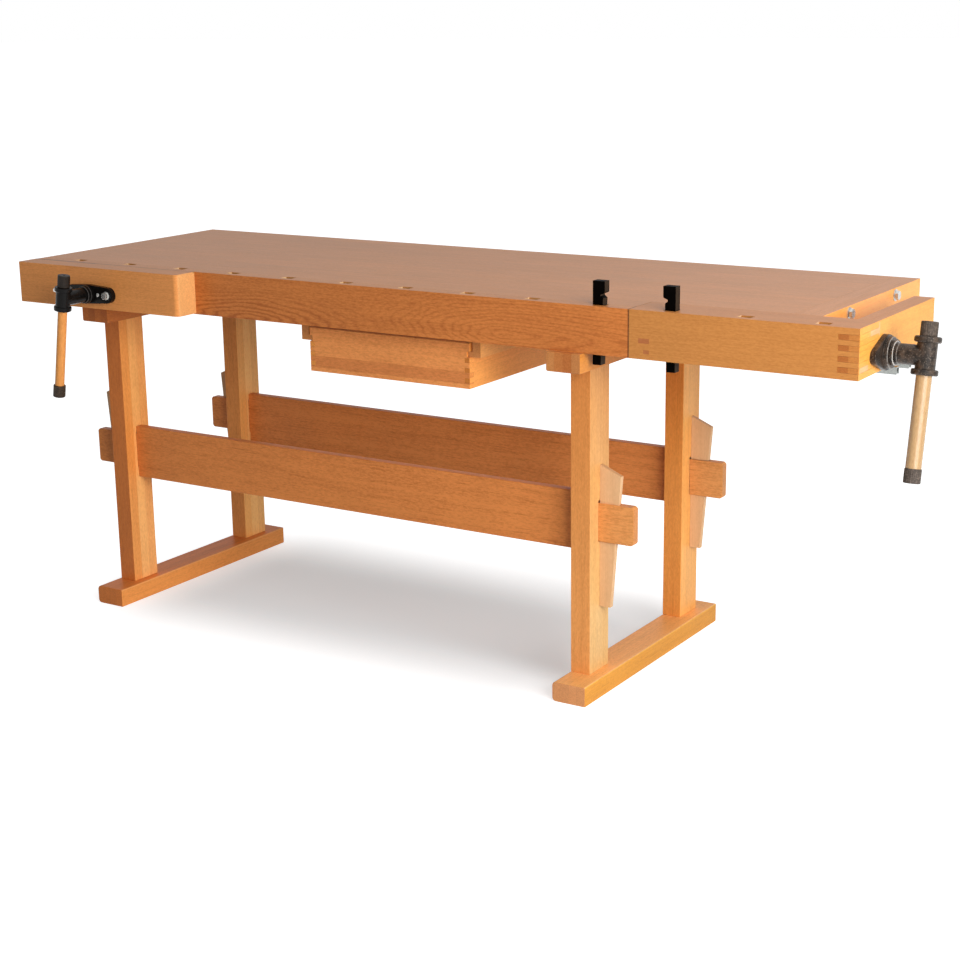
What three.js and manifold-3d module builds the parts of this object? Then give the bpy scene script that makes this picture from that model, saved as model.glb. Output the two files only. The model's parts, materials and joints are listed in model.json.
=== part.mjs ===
// Woodworking bench with a front vise, a tail vise, a hanging drawer and two bench dogs.
// Millimetres, +Z up, +X along the length toward the tail vise, +Y toward the back.
// The pieces are laid out from the left end of the top (X), its front face (Y) and the floor (Z).
// The whole group is then moved so that the origin lies under the middle of the bounding box.
import * as THREE from "three";
import { mergeVertices } from "three/addons/utils/BufferGeometryUtils.js";
import Module from "manifold-3d";

// Whole bench
const BENCH_HEIGHT = 860;
const TOP_LENGTH = 2013;
const TOP_DEPTH = 657;

// Fits
const FIT = 0.3; // gap round fixed pieces that sit inside one another
const RUNNING_FIT = 0.5; // gap round pieces that slide or turn
const LAP = 1; // how far a cutting or joined shape runs past the face it meets

// Top
const SLAB_THICKNESS = 30;
const RAIL_HEIGHT = 99.5;
const FRONT_RAIL_DEPTH = 63.7;
const BACK_RAIL_DEPTH = 50;
const END_CAP_WIDTH = 60;
const END_CAP_HEIGHT = 95;
const CAP_BOLT_FROM_FRONT = 236;
const CAP_BOLT_FROM_BACK = 157;
const CAP_BOLT_LENGTH = 130;
const BOLT_DIAMETER = 12;
const BOLT_HEAD_RADIUS = 10.5;
const BOLT_HEAD_HEIGHT = 7.5;
const WASHER_RADIUS = 13;
const WASHER_THICKNESS = 2.5;

// Dog holes and dogs
const DOG_FACE = 15.5; // wood in front of the dog holes
const DOG_HOLE_WIDTH = 29;
const DOG_HOLE_DEPTH = 20.5;
const DOG_HOLE_FIRST = 121; // first hole from the left end
const DOG_HOLE_LAST = 75.8; // last hole before the start of the tail vise's recess
const DOG_HOLE_COUNT = 10;
const DOG_HEIGHT = 173;
const DOG_RISE = 49; // how far the dogs stand above the top
const DOG_NOTCH_BELOW = 29; // middle of the notch under the dog's crown
const DOG_NOTCH_HALF = 6;
const DOG_NOTCH_DEPTH = 10;
const DOG_NOTCH_FLAT = 3;
const DOG_STEM_RELIEF = 4; // stem inside the head under the notch
const DOG_TIP_RELIEF = 9; // stem inside the head at its lower end

// Feet, bearers and legs
const BEAM_LENGTH = 650;
const BEAM_WIDTH = 81;
const FOOT_HEIGHT = 44.5;
const FOOT_ROUNDING = 9; // both edges of one long side
const FOOT_PROUD = 24; // feet in front of the top's front face
const BEARER_HEIGHT = 42;
const BEARER_ROUNDING = 4; // lower edge of one long side
const BEARER_PROUD = 12; // bearers in front of the top's front face
const LEG_WIDTH = 47;
const LEG_DEPTH = 85;
const LEG_FROM_LEFT = 186; // left leg centres from the left end of the top
const LEG_FROM_RIGHT = 508.5; // right leg centres from the right end of the top
const FOOT_SHIFTS = [4, 11.5]; // left and right foot centres to the right of their legs
const BEARER_SHIFTS = [5, -7.5]; // left and right bearer centres to the right of their legs
const LEG_FROM_FRONT = 48;
const LEG_FROM_BACK = 84;
const LEG_TENON_LENGTH = 28;
const LEG_TENON_WIDTH = 24;
const LEG_TENON_DEPTH = 60;
const PEG_DIAMETER = 20; // pegs on the bearers that locate the top
const PEG_HEIGHT = 18;

// Stretchers and wedges
const STRETCHER_HEIGHT = 130;
const STRETCHER_THICKNESS = 22;
const STRETCHER_FROM_FLOOR = 312;
const STRETCHER_SETBACK = 38; // behind the front face of its legs
const TENON_HEIGHT = 85;
const TENON_RISE = 25; // lower shoulder of the tenon
const TENON_OVERHANG = 84;
const TENON_CHAMFER = 5;
const MORTISE_HEADROOM = 4;
const WEDGE_THICKNESS = 12;
const WEDGE_FROM_FLOOR = 190; // lower end of the wedge driven deepest
const WEDGE_RISES = [
  [35, 0],
  [6, 18],
]; // front and back pair, left and right: how much higher each wedge stands
const WEDGE_HEIGHT = 316;
const WEDGE_TOP_WIDTH = 51;
const WEDGE_BOTTOM_WIDTH = 27;
const WEDGE_SLANT = 22;

// Vise screws and nuts, alike on both vises
const SCREW_DIAMETER = 22;
const SCREW_SEAT = 30; // screw end inside its head
const NUT_DIAMETER = 36;
const NUT_LENGTH = 44;
const NUT_FLANGE_LENGTH = 60;
const NUT_FLANGE_WIDTH = 44;
const NUT_FLANGE_THICKNESS = 8;
const FLANGE_THICKNESS = 12;
const HUB_HEIGHT = 9;
const THRUST_RING_LENGTH = 7;
const THRUST_NECK_LENGTH = 5;
const HANDLE_CAP_LENGTH = 28.5;
const HANDLE_CAP_WALL = 4;
const HANDLE_CAP_END = 6;
const HUB_STEP = 1; // front hub inside the flange outline
const NECK_STEP = 2; // neck of a vise head inside its barrel

// Front vise
const JAW_LENGTH = 508;
const JAW_OVERHANG = 2.5; // past the left end of the top
const JAW_THICKNESS = 62.4;
const JAW_HEIGHT = 97.2;
const JAW_ROUNDING_LEFT = 3;
const JAW_ROUNDING_RIGHT = 12;
const FRONT_SCREW_FROM_LEFT = 234;
const FRONT_SCREW_DROP = 61.3; // screw axis below the top
const FRONT_SCREW_LENGTH = 420;
const FRONT_FLANGE_REACH = 60; // ear centres from the screw axis
const FRONT_HUB_RADIUS = 22.5;
const FRONT_EAR_RADIUS = 18.5;
const FRONT_RING_RADIUS = 20; // thrust ring on the head
const FLANGE_BOLT_DIAMETER = 10;
const FLANGE_BOLT_HEAD_RADIUS = 8.2;
const FLANGE_BOLT_HEAD_HEIGHT = 8;
const FLANGE_WASHER_RADIUS = 10;
const FLANGE_WASHER_THICKNESS = 2;
const FLANGE_BOLT_DEPTH = 48; // bolt end inside the jaw
const GUIDE_ROD_REACH = 80; // rods from the screw axis, clear of the dog holes
const GUIDE_ROD_DIAMETER = 18;
const GUIDE_ROD_SEAT = 45; // rod end inside the jaw
const GUIDE_ROD_LENGTH = 291;
const FRONT_HEAD_REACH = 92.3; // jaw face to the middle of the handle
const FRONT_BARREL_RADIUS = 17.5;
const FRONT_TUBE_RADIUS = 17;
const FRONT_TUBE_LENGTH = 56;
const FRONT_COLLAR_RADIUS = 20.5;
const FRONT_COLLAR_HEIGHT = 10;
const FRONT_HANDLE_DIAMETER = 22;
const FRONT_HANDLE_LENGTH = 296.5;
const FRONT_CAP_RADIUS = 14.5;
const FRONT_LEAN = 8.7; // degrees, upper end toward +X
const HEAD_BOLT_DIAMETER = 6;
const HEAD_BOLT_SEAT = 4.5; // bolt end inside the tube's wall
const HEAD_BOLT_BELOW = 2; // bolt axis under the upper collar
const HEAD_BOLT_HEAD_RADIUS = 6;
const HEAD_BOLT_HEAD_HEIGHT = 7;

// Tail vise
const TAIL_RECESS = 372; // length of the recess at the right end of the top
const TAIL_GAP = 1; // between the front block and the slab
const SPLIT_GAP = 1.2; // between the front block and the front rail
const TAIL_BEAM_GAP = 71; // between the right end of the top and the end beam
const TAIL_BEAM_THICKNESS = 42.5;
const TAIL_BEAM_LENGTH = 417;
const TAIL_DOG_FIRST = 83; // first hole from the start of the recess
const TAIL_DOG_SPACING = 160.5;
const TAIL_DOG_COUNT = 3;
const FINGER_COUNT = 4;
const FINGER_HEIGHT = 10.5;
const FINGER_PITCH = 21;
const TONGUE_HEIGHT = 10;
const TONGUE_DEPTH = 8;
const TONGUE_END_GAP = 8;
const TAIL_SCREW_FROM_FRONT = 124;
const TAIL_SCREW_DROP = 64; // screw axis below the top
const TAIL_SCREW_LENGTH = 440;
const TAIL_FLANGE_REACH = 55;
const TAIL_HUB_RADIUS = 35;
const TAIL_EAR_RADIUS = 15;
const TAIL_RING_RADIUS = 24; // thrust ring on the head
const TAIL_HUB_MARGIN = 7; // hub past the thrust ring that bears on it
const TAIL_HEAD_REACH = 86.5; // beam face to the middle of the handle
const TAIL_BARREL_RADIUS = 20;
const TAIL_TUBE_RADIUS = 19.5;
const TAIL_TUBE_LENGTH = 74.5;
const TAIL_COLLAR_RADIUS = 26;
const TAIL_COLLAR_HEIGHT = 12;
const TAIL_HANDLE_DIAMETER = 31;
const TAIL_HANDLE_LENGTH = 310;
const TAIL_CAP_RADIUS = 16.7;
const TAIL_LEAN = 11.8; // degrees, upper end toward +Y
const SLIDE_RAIL_SIZE = 15.5;
const SLIDE_RAIL_WALL = 3;
const SLIDE_RAIL_LENGTH = 444;
const SLIDE_RAIL_PROUD = 15; // past the outer face of the end beam
const SLIDE_RAIL_FROM_FRONT = 165;
const SLIDE_RAIL_SPACING = 70;
const BRACKET_WALL = 10;

// Drawer
const DRAWER_FROM_RIGHT = 998; // middle of the drawer from the right end of the top
const DRAWER_WIDTH = 432;
const DRAWER_HEIGHT = 103;
const DRAWER_DROP = 11.5; // drawer top under the front rail
const DRAWER_SETBACK = 48.6;
const DRAWER_LENGTH = 420;
const DRAWER_FRONT_THICKNESS = 16;
const DRAWER_SIDE_THICKNESS = 13;
const DRAWER_BACK_DROP = 14; // drawer back under the drawer's top edge
const DRAWER_BOTTOM_THICKNESS = 6;
const DRAWER_BOTTOM_RISE = 6;
const DRAWER_GROOVE = 5; // seat of the bottom in the walls
const DRAWER_FINGER_COUNT = 3;
const DRAWER_FINGER_HEIGHT = 11;
const DRAWER_FINGER_PITCH = 22;
const DRAWER_FINGER_FIRST = 18.5; // middle of the lowest finger above the drawer's lower edge
const RUNNER_WIDTH = 21;
const RUNNER_GAP = 5; // between runner and drawer side
const RUNNER_DROP = 44.5; // runner below the front rail
const RUNNER_LENGTH = 490;
const RUNNER_SETBACK = 4; // runner front behind the drawer front
const RUNNER_TONGUE_HEIGHT = 12;
const RUNNER_TONGUE_SEAT = 7; // tongue inside the drawer side

// Roundness of turned pieces
const ROUND = 32;
const SMALL_ROUND = 16;
const CORNER_STEPS = 4;

const WOOD = 0xc98a4b;
const PALE_WOOD = 0xe0aa6a;
const DARK_WOOD = 0xb5743a;
const BLACK = 0x1c1b1a;
const CAST = 0x4a423c;
const STEEL = 0xb9bcc0;

const wasm = await Module();
wasm.setup();

// A closed geometry as a solid, with doubled corners joined and empty triangles left out.
function solid(geometry) {
  const bare = new THREE.BufferGeometry();
  bare.setAttribute("position", geometry.getAttribute("position"));
  if (geometry.index) bare.setIndex(geometry.index);
  const merged = mergeVertices(bare, 1e-4);
  const kept = [];
  const index = merged.index.array;
  for (let i = 0; i < index.length; i += 3) {
    const [a, b, c] = [index[i], index[i + 1], index[i + 2]];
    if (a !== b && b !== c && c !== a) kept.push(a, b, c);
  }
  const made = (triangles) =>
    new wasm.Manifold(
      new wasm.Mesh({
        numProp: 3,
        vertProperties: new Float32Array(merged.getAttribute("position").array),
        triVerts: new Uint32Array(triangles),
      }),
    );
  const first = made(kept);
  if (first.volume() > 0) return first;
  const turned = [];
  for (let i = 0; i < kept.length; i += 3) turned.push(kept[i], kept[i + 2], kept[i + 1]);
  return made(turned);
}

// A box between two corners.
function box(x0, x1, y0, y1, z0, z1) {
  const g = new THREE.BoxGeometry(1, 1, 1);
  const p = g.getAttribute("position");
  for (let i = 0; i < p.count; i++)
    p.setXYZ(
      i,
      p.getX(i) < 0 ? x0 : x1,
      p.getY(i) < 0 ? y0 : y1,
      p.getZ(i) < 0 ? z0 : z1,
    );
  return solid(g);
}

// An outline drawn out from one level to another; place turns (u, v, level) into (x, y, z).
function prism(outline, low, high, place) {
  const shape = new THREE.Shape(outline.map(([u, v]) => new THREE.Vector2(u, v)));
  const g = new THREE.ExtrudeGeometry(shape, { depth: 1, bevelEnabled: false });
  const p = g.getAttribute("position");
  for (let i = 0; i < p.count; i++)
    p.setXYZ(i, ...place(p.getX(i), p.getY(i), p.getZ(i) < 0.5 ? low : high));
  return solid(g);
}
const prismX = (yz, x0, x1) => prism(yz, x0, x1, (u, v, t) => [t, u, v]);
const prismY = (xz, y0, y1) => prism(xz, y0, y1, (u, v, t) => [u, t, v]);
const prismZ = (xy, z0, z1) => prism(xy, z0, z1, (u, v, t) => [u, v, t]);

// A turned piece: radius and height pairs about an axis through centre, from "x", "y" or "z".
function turned(profile, axis, centre, steps = ROUND) {
  const g = new THREE.LatheGeometry(
    profile.map(([r, h]) => new THREE.Vector2(r, h)),
    steps,
  );
  if (axis === "z") g.rotateX(Math.PI / 2);
  if (axis === "x") g.rotateZ(-Math.PI / 2);
  g.translate(...centre);
  return solid(g);
}
const rod = (radius, from, to, axis, centre, steps = ROUND) =>
  turned([[0, from], [radius, from], [radius, to], [0, to]], axis, centre, steps);

// A six-sided bolt head.
const hex = (radius, from, to, axis, centre) => rod(radius, from, to, axis, centre, 6);

// Points of an arc about (u, v) from one angle in degrees to another.
function arc(u, v, radius, from, to, steps = CORNER_STEPS) {
  const points = [];
  for (let i = 0; i <= steps; i++) {
    const a = THREE.MathUtils.degToRad(from + ((to - from) * i) / steps);
    points.push([u + radius * Math.cos(a), v + radius * Math.sin(a)]);
  }
  return points;
}

// The outline of a plate with a round hub and two smaller round ears, along u.
function earedOutline(hub, ear, reach) {
  const tilt = THREE.MathUtils.radToDeg(Math.acos((hub - ear) / reach));
  return [
    ...arc(reach, 0, ear, -tilt, tilt, 10),
    ...arc(0, 0, hub, tilt, 180 - tilt, 6),
    ...arc(-reach, 0, ear, 180 - tilt, 180 + tilt, 10),
    ...arc(0, 0, hub, 180 + tilt, 360 - tilt, 6),
  ];
}

const cut = (from, ...tools) => tools.reduce((left, tool) => left.subtract(tool), from);
const join = (...pieces) => pieces.reduce((left, piece) => left.add(piece));

const bench = new THREE.Group();
bench.name = "woodworking_bench";

// Adds a named piece to the bench.
function piece(name, body, colour, metal = false) {
  const made = body.getMesh();
  const g = new THREE.BufferGeometry();
  g.setAttribute("position", new THREE.BufferAttribute(new Float32Array(made.vertProperties), 3));
  g.setIndex(new THREE.BufferAttribute(new Uint32Array(made.triVerts), 1));
  const flat = g.toNonIndexed();
  flat.computeVertexNormals();
  const material = new THREE.MeshStandardMaterial({
    color: colour,
    roughness: metal ? 0.45 : 0.6,
    metalness: metal ? 0.7 : 0,
  });
  const mesh = new THREE.Mesh(flat, material);
  mesh.name = name;
  bench.add(mesh);
  return mesh;
}

// Levels and lines that several pieces share
const topZ = BENCH_HEIGHT;
const slabZ = topZ - SLAB_THICKNESS;
const slabMiddleZ = topZ - SLAB_THICKNESS / 2;
const railZ = topZ - RAIL_HEIGHT;
const capZ = topZ - END_CAP_HEIGHT;
const bearerZ = railZ - BEARER_HEIGHT;
const frontScrewZ = topZ - FRONT_SCREW_DROP;
const tailScrewZ = topZ - TAIL_SCREW_DROP;
const stripY = DOG_FACE + DOG_HOLE_DEPTH;
const slabY = stripY + FRONT_RAIL_DEPTH;
const backRailY = TOP_DEPTH - BACK_RAIL_DEPTH;
const capLeftX = END_CAP_WIDTH;
const capRightX = TOP_LENGTH - END_CAP_WIDTH;
const recessX = TOP_LENGTH - TAIL_RECESS;
const legXs = [LEG_FROM_LEFT, TOP_LENGTH - LEG_FROM_RIGHT];
const bearerXs = legXs.map((x, s) => x + BEARER_SHIFTS[s]);
const legYs = [LEG_FROM_FRONT, TOP_DEPTH - LEG_FROM_BACK - LEG_DEPTH];
const sides = ["left", "right"];
const ends = ["front", "back"];

// Base frame: feet, bearers and legs
const pegYs = [stripY + FRONT_RAIL_DEPTH / 2, backRailY + BACK_RAIL_DEPTH / 3];
legXs.forEach((x, s) => {
  const footX0 = x + FOOT_SHIFTS[s] - BEAM_WIDTH / 2;
  const footOutline = [
    ...arc(footX0 + FOOT_ROUNDING, FOOT_ROUNDING, FOOT_ROUNDING, 180, 270),
    [footX0 + BEAM_WIDTH, 0],
    [footX0 + BEAM_WIDTH, FOOT_HEIGHT],
    ...arc(footX0 + FOOT_ROUNDING, FOOT_HEIGHT - FOOT_ROUNDING, FOOT_ROUNDING, 90, 180),
  ];
  const bearerX0 = bearerXs[s] - BEAM_WIDTH / 2;
  const bearerOutline = [
    ...arc(bearerX0 + BEARER_ROUNDING, bearerZ + BEARER_ROUNDING, BEARER_ROUNDING, 180, 270),
    [bearerX0 + BEAM_WIDTH, bearerZ],
    [bearerX0 + BEAM_WIDTH, railZ],
    [bearerX0, railZ],
  ];
  const mortise = (y, z0, z1) =>
    box(
      x - LEG_TENON_WIDTH / 2 - FIT,
      x + LEG_TENON_WIDTH / 2 + FIT,
      y + (LEG_DEPTH - LEG_TENON_DEPTH) / 2 - FIT,
      y + (LEG_DEPTH + LEG_TENON_DEPTH) / 2 + FIT,
      z0,
      z1,
    );
  const foot = prismY(footOutline, -FOOT_PROUD, BEAM_LENGTH - FOOT_PROUD);
  const footMortises = legYs.map((y) =>
    mortise(y, FOOT_HEIGHT - LEG_TENON_LENGTH - FIT, FOOT_HEIGHT + LAP),
  );
  piece("foot_" + sides[s], cut(foot, ...footMortises), WOOD);

  const bearer = prismY(bearerOutline, -BEARER_PROUD, BEAM_LENGTH - BEARER_PROUD);
  const bearerMortises = legYs.map((y) => mortise(y, bearerZ - LAP, bearerZ + LEG_TENON_LENGTH + FIT));
  const pegs = pegYs.map((y) =>
    rod(PEG_DIAMETER / 2, railZ - LAP, railZ + PEG_HEIGHT, "z", [bearerXs[s], y, 0], SMALL_ROUND),
  );
  piece("bearer_" + sides[s], join(cut(bearer, ...bearerMortises), ...pegs), WOOD);

  legYs.forEach((y, e) => {
    const post = box(x - LEG_WIDTH / 2, x + LEG_WIDTH / 2, y, y + LEG_DEPTH, FOOT_HEIGHT, bearerZ);
    const tenons = box(
      x - LEG_TENON_WIDTH / 2,
      x + LEG_TENON_WIDTH / 2,
      y + (LEG_DEPTH - LEG_TENON_DEPTH) / 2,
      y + (LEG_DEPTH + LEG_TENON_DEPTH) / 2,
      FOOT_HEIGHT - LEG_TENON_LENGTH,
      bearerZ + LEG_TENON_LENGTH,
    );
    const through = box(
      x - LEG_WIDTH,
      x + LEG_WIDTH,
      y + STRETCHER_SETBACK - FIT,
      y + STRETCHER_SETBACK + STRETCHER_THICKNESS + FIT,
      STRETCHER_FROM_FLOOR + TENON_RISE - FIT,
      STRETCHER_FROM_FLOOR + TENON_RISE + TENON_HEIGHT + MORTISE_HEADROOM,
    );
    piece("leg_" + ends[e] + "_" + sides[s], cut(join(post, tenons), through), WOOD);
  });
});

// Stretchers, with their wedges bearing on the outer faces of the legs
legYs.forEach((legY, e) => {
  const y0 = legY + STRETCHER_SETBACK;
  const y1 = y0 + STRETCHER_THICKNESS;
  const z0 = STRETCHER_FROM_FLOOR;
  const z1 = z0 + STRETCHER_HEIGHT;
  const tenonZ0 = z0 + TENON_RISE;
  const tenonZ1 = tenonZ0 + TENON_HEIGHT;
  const inner = [legXs[0] + LEG_WIDTH / 2, legXs[1] - LEG_WIDTH / 2];
  const outer = [legXs[0] - LEG_WIDTH / 2, legXs[1] + LEG_WIDTH / 2];
  const tip = [outer[0] - TENON_OVERHANG, outer[1] + TENON_OVERHANG];
  let board = prismY(
    [
      [inner[0], z0],
      [inner[1], z0],
      [inner[1], tenonZ0],
      [tip[1] - TENON_CHAMFER, tenonZ0],
      [tip[1], tenonZ0 + TENON_CHAMFER],
      [tip[1], tenonZ1 - TENON_CHAMFER],
      [tip[1] - TENON_CHAMFER, tenonZ1],
      [inner[1], tenonZ1],
      [inner[1], z1],
      [inner[0], z1],
      [inner[0], tenonZ1],
      [tip[0] + TENON_CHAMFER, tenonZ1],
      [tip[0], tenonZ1 - TENON_CHAMFER],
      [tip[0], tenonZ0 + TENON_CHAMFER],
      [tip[0] + TENON_CHAMFER, tenonZ0],
      [inner[0], tenonZ0],
    ],
    y0,
    y1,
  );
  const middleY = (y0 + y1) / 2;
  const wedgeY0 = middleY - WEDGE_THICKNESS / 2;
  const wedgeY1 = middleY + WEDGE_THICKNESS / 2;
  outer.forEach((face, s) => {
    const out = s === 0 ? -1 : 1;
    const wedgeZ0 = WEDGE_FROM_FLOOR + WEDGE_RISES[e][s];
    const wedgeZ1 = wedgeZ0 + WEDGE_HEIGHT;
    const outline = (inside, outside) => [
      [face - out * inside, wedgeZ0],
      [face + out * (WEDGE_BOTTOM_WIDTH + outside), wedgeZ0],
      [face + out * (WEDGE_TOP_WIDTH + outside), wedgeZ1 - WEDGE_SLANT],
      [face - out * inside, wedgeZ1],
    ];
    piece(
      "wedge_" + ends[e] + "_" + sides[s],
      prismY(outline(0, 0), wedgeY0, wedgeY1),
      PALE_WOOD,
    );
    board = cut(board, prismY(outline(MORTISE_HEADROOM, FIT), wedgeY0 - FIT, wedgeY1 + FIT));
  });
  piece("stretcher_" + ends[e], board, DARK_WOOD);
});

// Top: slab, rails and end caps
const frontScrewX = FRONT_SCREW_FROM_LEFT;
const tailScrewY = TAIL_SCREW_FROM_FRONT;
const earXs = [frontScrewX - FRONT_FLANGE_REACH, frontScrewX + FRONT_FLANGE_REACH];
const rodXs = [frontScrewX - GUIDE_ROD_REACH, frontScrewX + GUIDE_ROD_REACH];
const boltYs = [CAP_BOLT_FROM_FRONT, TOP_DEPTH - CAP_BOLT_FROM_BACK];
const boltHoles = boltYs.flatMap((y) => [
  rod(BOLT_DIAMETER / 2 + FIT, -LAP, CAP_BOLT_LENGTH + FIT, "x", [0, y, slabMiddleZ], SMALL_ROUND),
  rod(
    BOLT_DIAMETER / 2 + FIT,
    TOP_LENGTH - CAP_BOLT_LENGTH - FIT,
    TOP_LENGTH + LAP,
    "x",
    [0, y, slabMiddleZ],
    SMALL_ROUND,
  ),
]);
const tailGroove = box(
  recessX,
  TOP_LENGTH + LAP,
  slabY - LAP,
  slabY - TAIL_GAP + TONGUE_DEPTH + RUNNING_FIT,
  slabMiddleZ - TONGUE_HEIGHT / 2 - RUNNING_FIT,
  slabMiddleZ + TONGUE_HEIGHT / 2 + RUNNING_FIT,
);
piece(
  "top_slab",
  cut(box(capLeftX, capRightX, slabY, backRailY, slabZ, topZ), ...boltHoles, tailGroove),
  PALE_WOOD,
);
piece(
  "end_cap_left",
  cut(box(0, capLeftX, slabY, TOP_DEPTH, capZ, topZ), ...boltHoles),
  WOOD,
);
const nutSeat = rod(
  NUT_DIAMETER / 2 + FIT,
  capRightX - LAP,
  TOP_LENGTH + LAP,
  "x",
  [0, tailScrewY, tailScrewZ],
);
piece(
  "end_cap_right",
  cut(box(capRightX, TOP_LENGTH, slabY, TOP_DEPTH, capZ, topZ), ...boltHoles, tailGroove, nutSeat),
  WOOD,
);
const pegHoles = bearerXs.flatMap((x) =>
  pegYs.map((y) =>
    rod(PEG_DIAMETER / 2 + FIT, railZ - LAP, railZ + PEG_HEIGHT + FIT, "z", [x, y, 0], SMALL_ROUND),
  ),
);
piece(
  "back_rail",
  cut(box(capLeftX, capRightX, backRailY, TOP_DEPTH, railZ, topZ), ...pegHoles),
  WOOD,
);
const rodBores = rodXs.map((x) =>
  rod(GUIDE_ROD_DIAMETER / 2 + RUNNING_FIT, -LAP, slabY + LAP, "y", [x, 0, frontScrewZ], SMALL_ROUND),
);
const screwBore = rod(
  SCREW_DIAMETER / 2 + 2 * RUNNING_FIT,
  -LAP,
  slabY + LAP,
  "y",
  [frontScrewX, 0, frontScrewZ],
);
const frontNutSeat = rod(
  NUT_DIAMETER / 2 + FIT,
  slabY - NUT_LENGTH - FIT,
  slabY + LAP,
  "y",
  [frontScrewX, 0, frontScrewZ],
);
piece(
  "front_rail",
  cut(
    box(0, recessX, stripY, slabY, railZ, topZ),
    ...pegHoles,
    ...rodBores,
    screwBore,
    frontNutSeat,
  ),
  WOOD,
);
const dogHoleSpacing = (recessX - DOG_HOLE_LAST - DOG_HOLE_FIRST) / (DOG_HOLE_COUNT - 1);
const dogXs = [];
for (let i = 0; i < DOG_HOLE_COUNT; i++) dogXs.push(DOG_HOLE_FIRST + i * dogHoleSpacing);
const dogHole = (x) =>
  box(x - DOG_HOLE_WIDTH / 2, x + DOG_HOLE_WIDTH / 2, DOG_FACE, stripY, railZ - LAP, topZ + LAP);
piece(
  "dog_strip",
  cut(box(0, recessX, 0, stripY, railZ, topZ), ...dogXs.map(dogHole), ...rodBores, screwBore),
  WOOD,
);
sides.forEach((side, s) =>
  boltYs.forEach((y, e) => {
    const out = s === 0 ? -1 : 1;
    const face = s === 0 ? 0 : TOP_LENGTH;
    const at = [0, y, slabMiddleZ];
    const span = (a, b) => (out < 0 ? [face - b, face - a] : [face + a, face + b]);
    const shank = rod(BOLT_DIAMETER / 2, ...span(-CAP_BOLT_LENGTH, LAP), "x", at, SMALL_ROUND);
    const washer = rod(WASHER_RADIUS, ...span(0, WASHER_THICKNESS), "x", at, SMALL_ROUND);
    const head = hex(
      BOLT_HEAD_RADIUS,
      ...span(WASHER_THICKNESS - LAP, WASHER_THICKNESS + BOLT_HEAD_HEIGHT),
      "x",
      at,
    );
    piece("cap_bolt_" + ends[e] + "_" + side, join(shank, washer, head), STEEL, true);
  }),
);

// A vise nut on the axis: a plate against the face at the level given and a round body let into that face.
function nut(axis, level, wide, tall) {
  const half = (a, b) => (axis === "y" ? [-a, a, level, level + b] : [level - b, level, -a, a]);
  const plate = box(...half(wide / 2, NUT_FLANGE_THICKNESS), -tall / 2, tall / 2);
  const body =
    axis === "y"
      ? rod(NUT_DIAMETER / 2, level - NUT_LENGTH, level + LAP, "y", [0, 0, 0])
      : rod(NUT_DIAMETER / 2, level - LAP, level + NUT_LENGTH, "x", [0, 0, 0]);
  const bore = rod(
    SCREW_DIAMETER / 2 + RUNNING_FIT,
    level - 2 * NUT_LENGTH,
    level + 2 * NUT_LENGTH,
    axis,
    [0, 0, 0],
  );
  return cut(join(plate, body), bore);
}

// A vise head about the origin: a barrel along one axis, a collared tube across it for the handle.
function head(axis, reach, barrel, thrust, tube, length, collar, collarHeight, handle) {
  const start = FLANGE_THICKNESS + HUB_HEIGHT + RUNNING_FIT;
  const end = reach - start;
  const ring = end - THRUST_RING_LENGTH;
  const neck = ring - THRUST_NECK_LENGTH;
  const mirror = axis === "x" ? -1 : 1;
  const profile = [
    [0, 0],
    [barrel, 0],
    [barrel, neck],
    [barrel - NECK_STEP, neck],
    [barrel - NECK_STEP, ring],
    [thrust, ring],
    [thrust, end],
    [0, end],
  ].map(([r, h]) => [r, mirror * h]);
  const half = length / 2;
  const soft = (collar - tube) / 3;
  const across = [
    [0, -half],
    [collar - soft, -half],
    [collar, soft - half],
    [collar, collarHeight - soft - half],
    [collar - soft, collarHeight - half],
    [tube, collarHeight - half],
    [tube, half - collarHeight],
    [collar - soft, half - collarHeight],
    [collar, half - collarHeight + soft],
    [collar, half - soft],
    [collar - soft, half],
    [0, half],
  ];
  const seat = rod(
    SCREW_DIAMETER / 2 + FIT,
    ...(mirror > 0 ? [end - SCREW_SEAT - FIT, end + LAP] : [-end - LAP, SCREW_SEAT + FIT - end]),
    axis,
    [0, 0, 0],
  );
  const bore = rod(handle / 2 + RUNNING_FIT, -length, length, "z", [0, 0, 0]);
  return cut(
    join(turned(profile, axis, [0, 0, 0]), turned(across, "z", [0, 0, 0])),
    seat,
    bore,
  );
}

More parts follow.
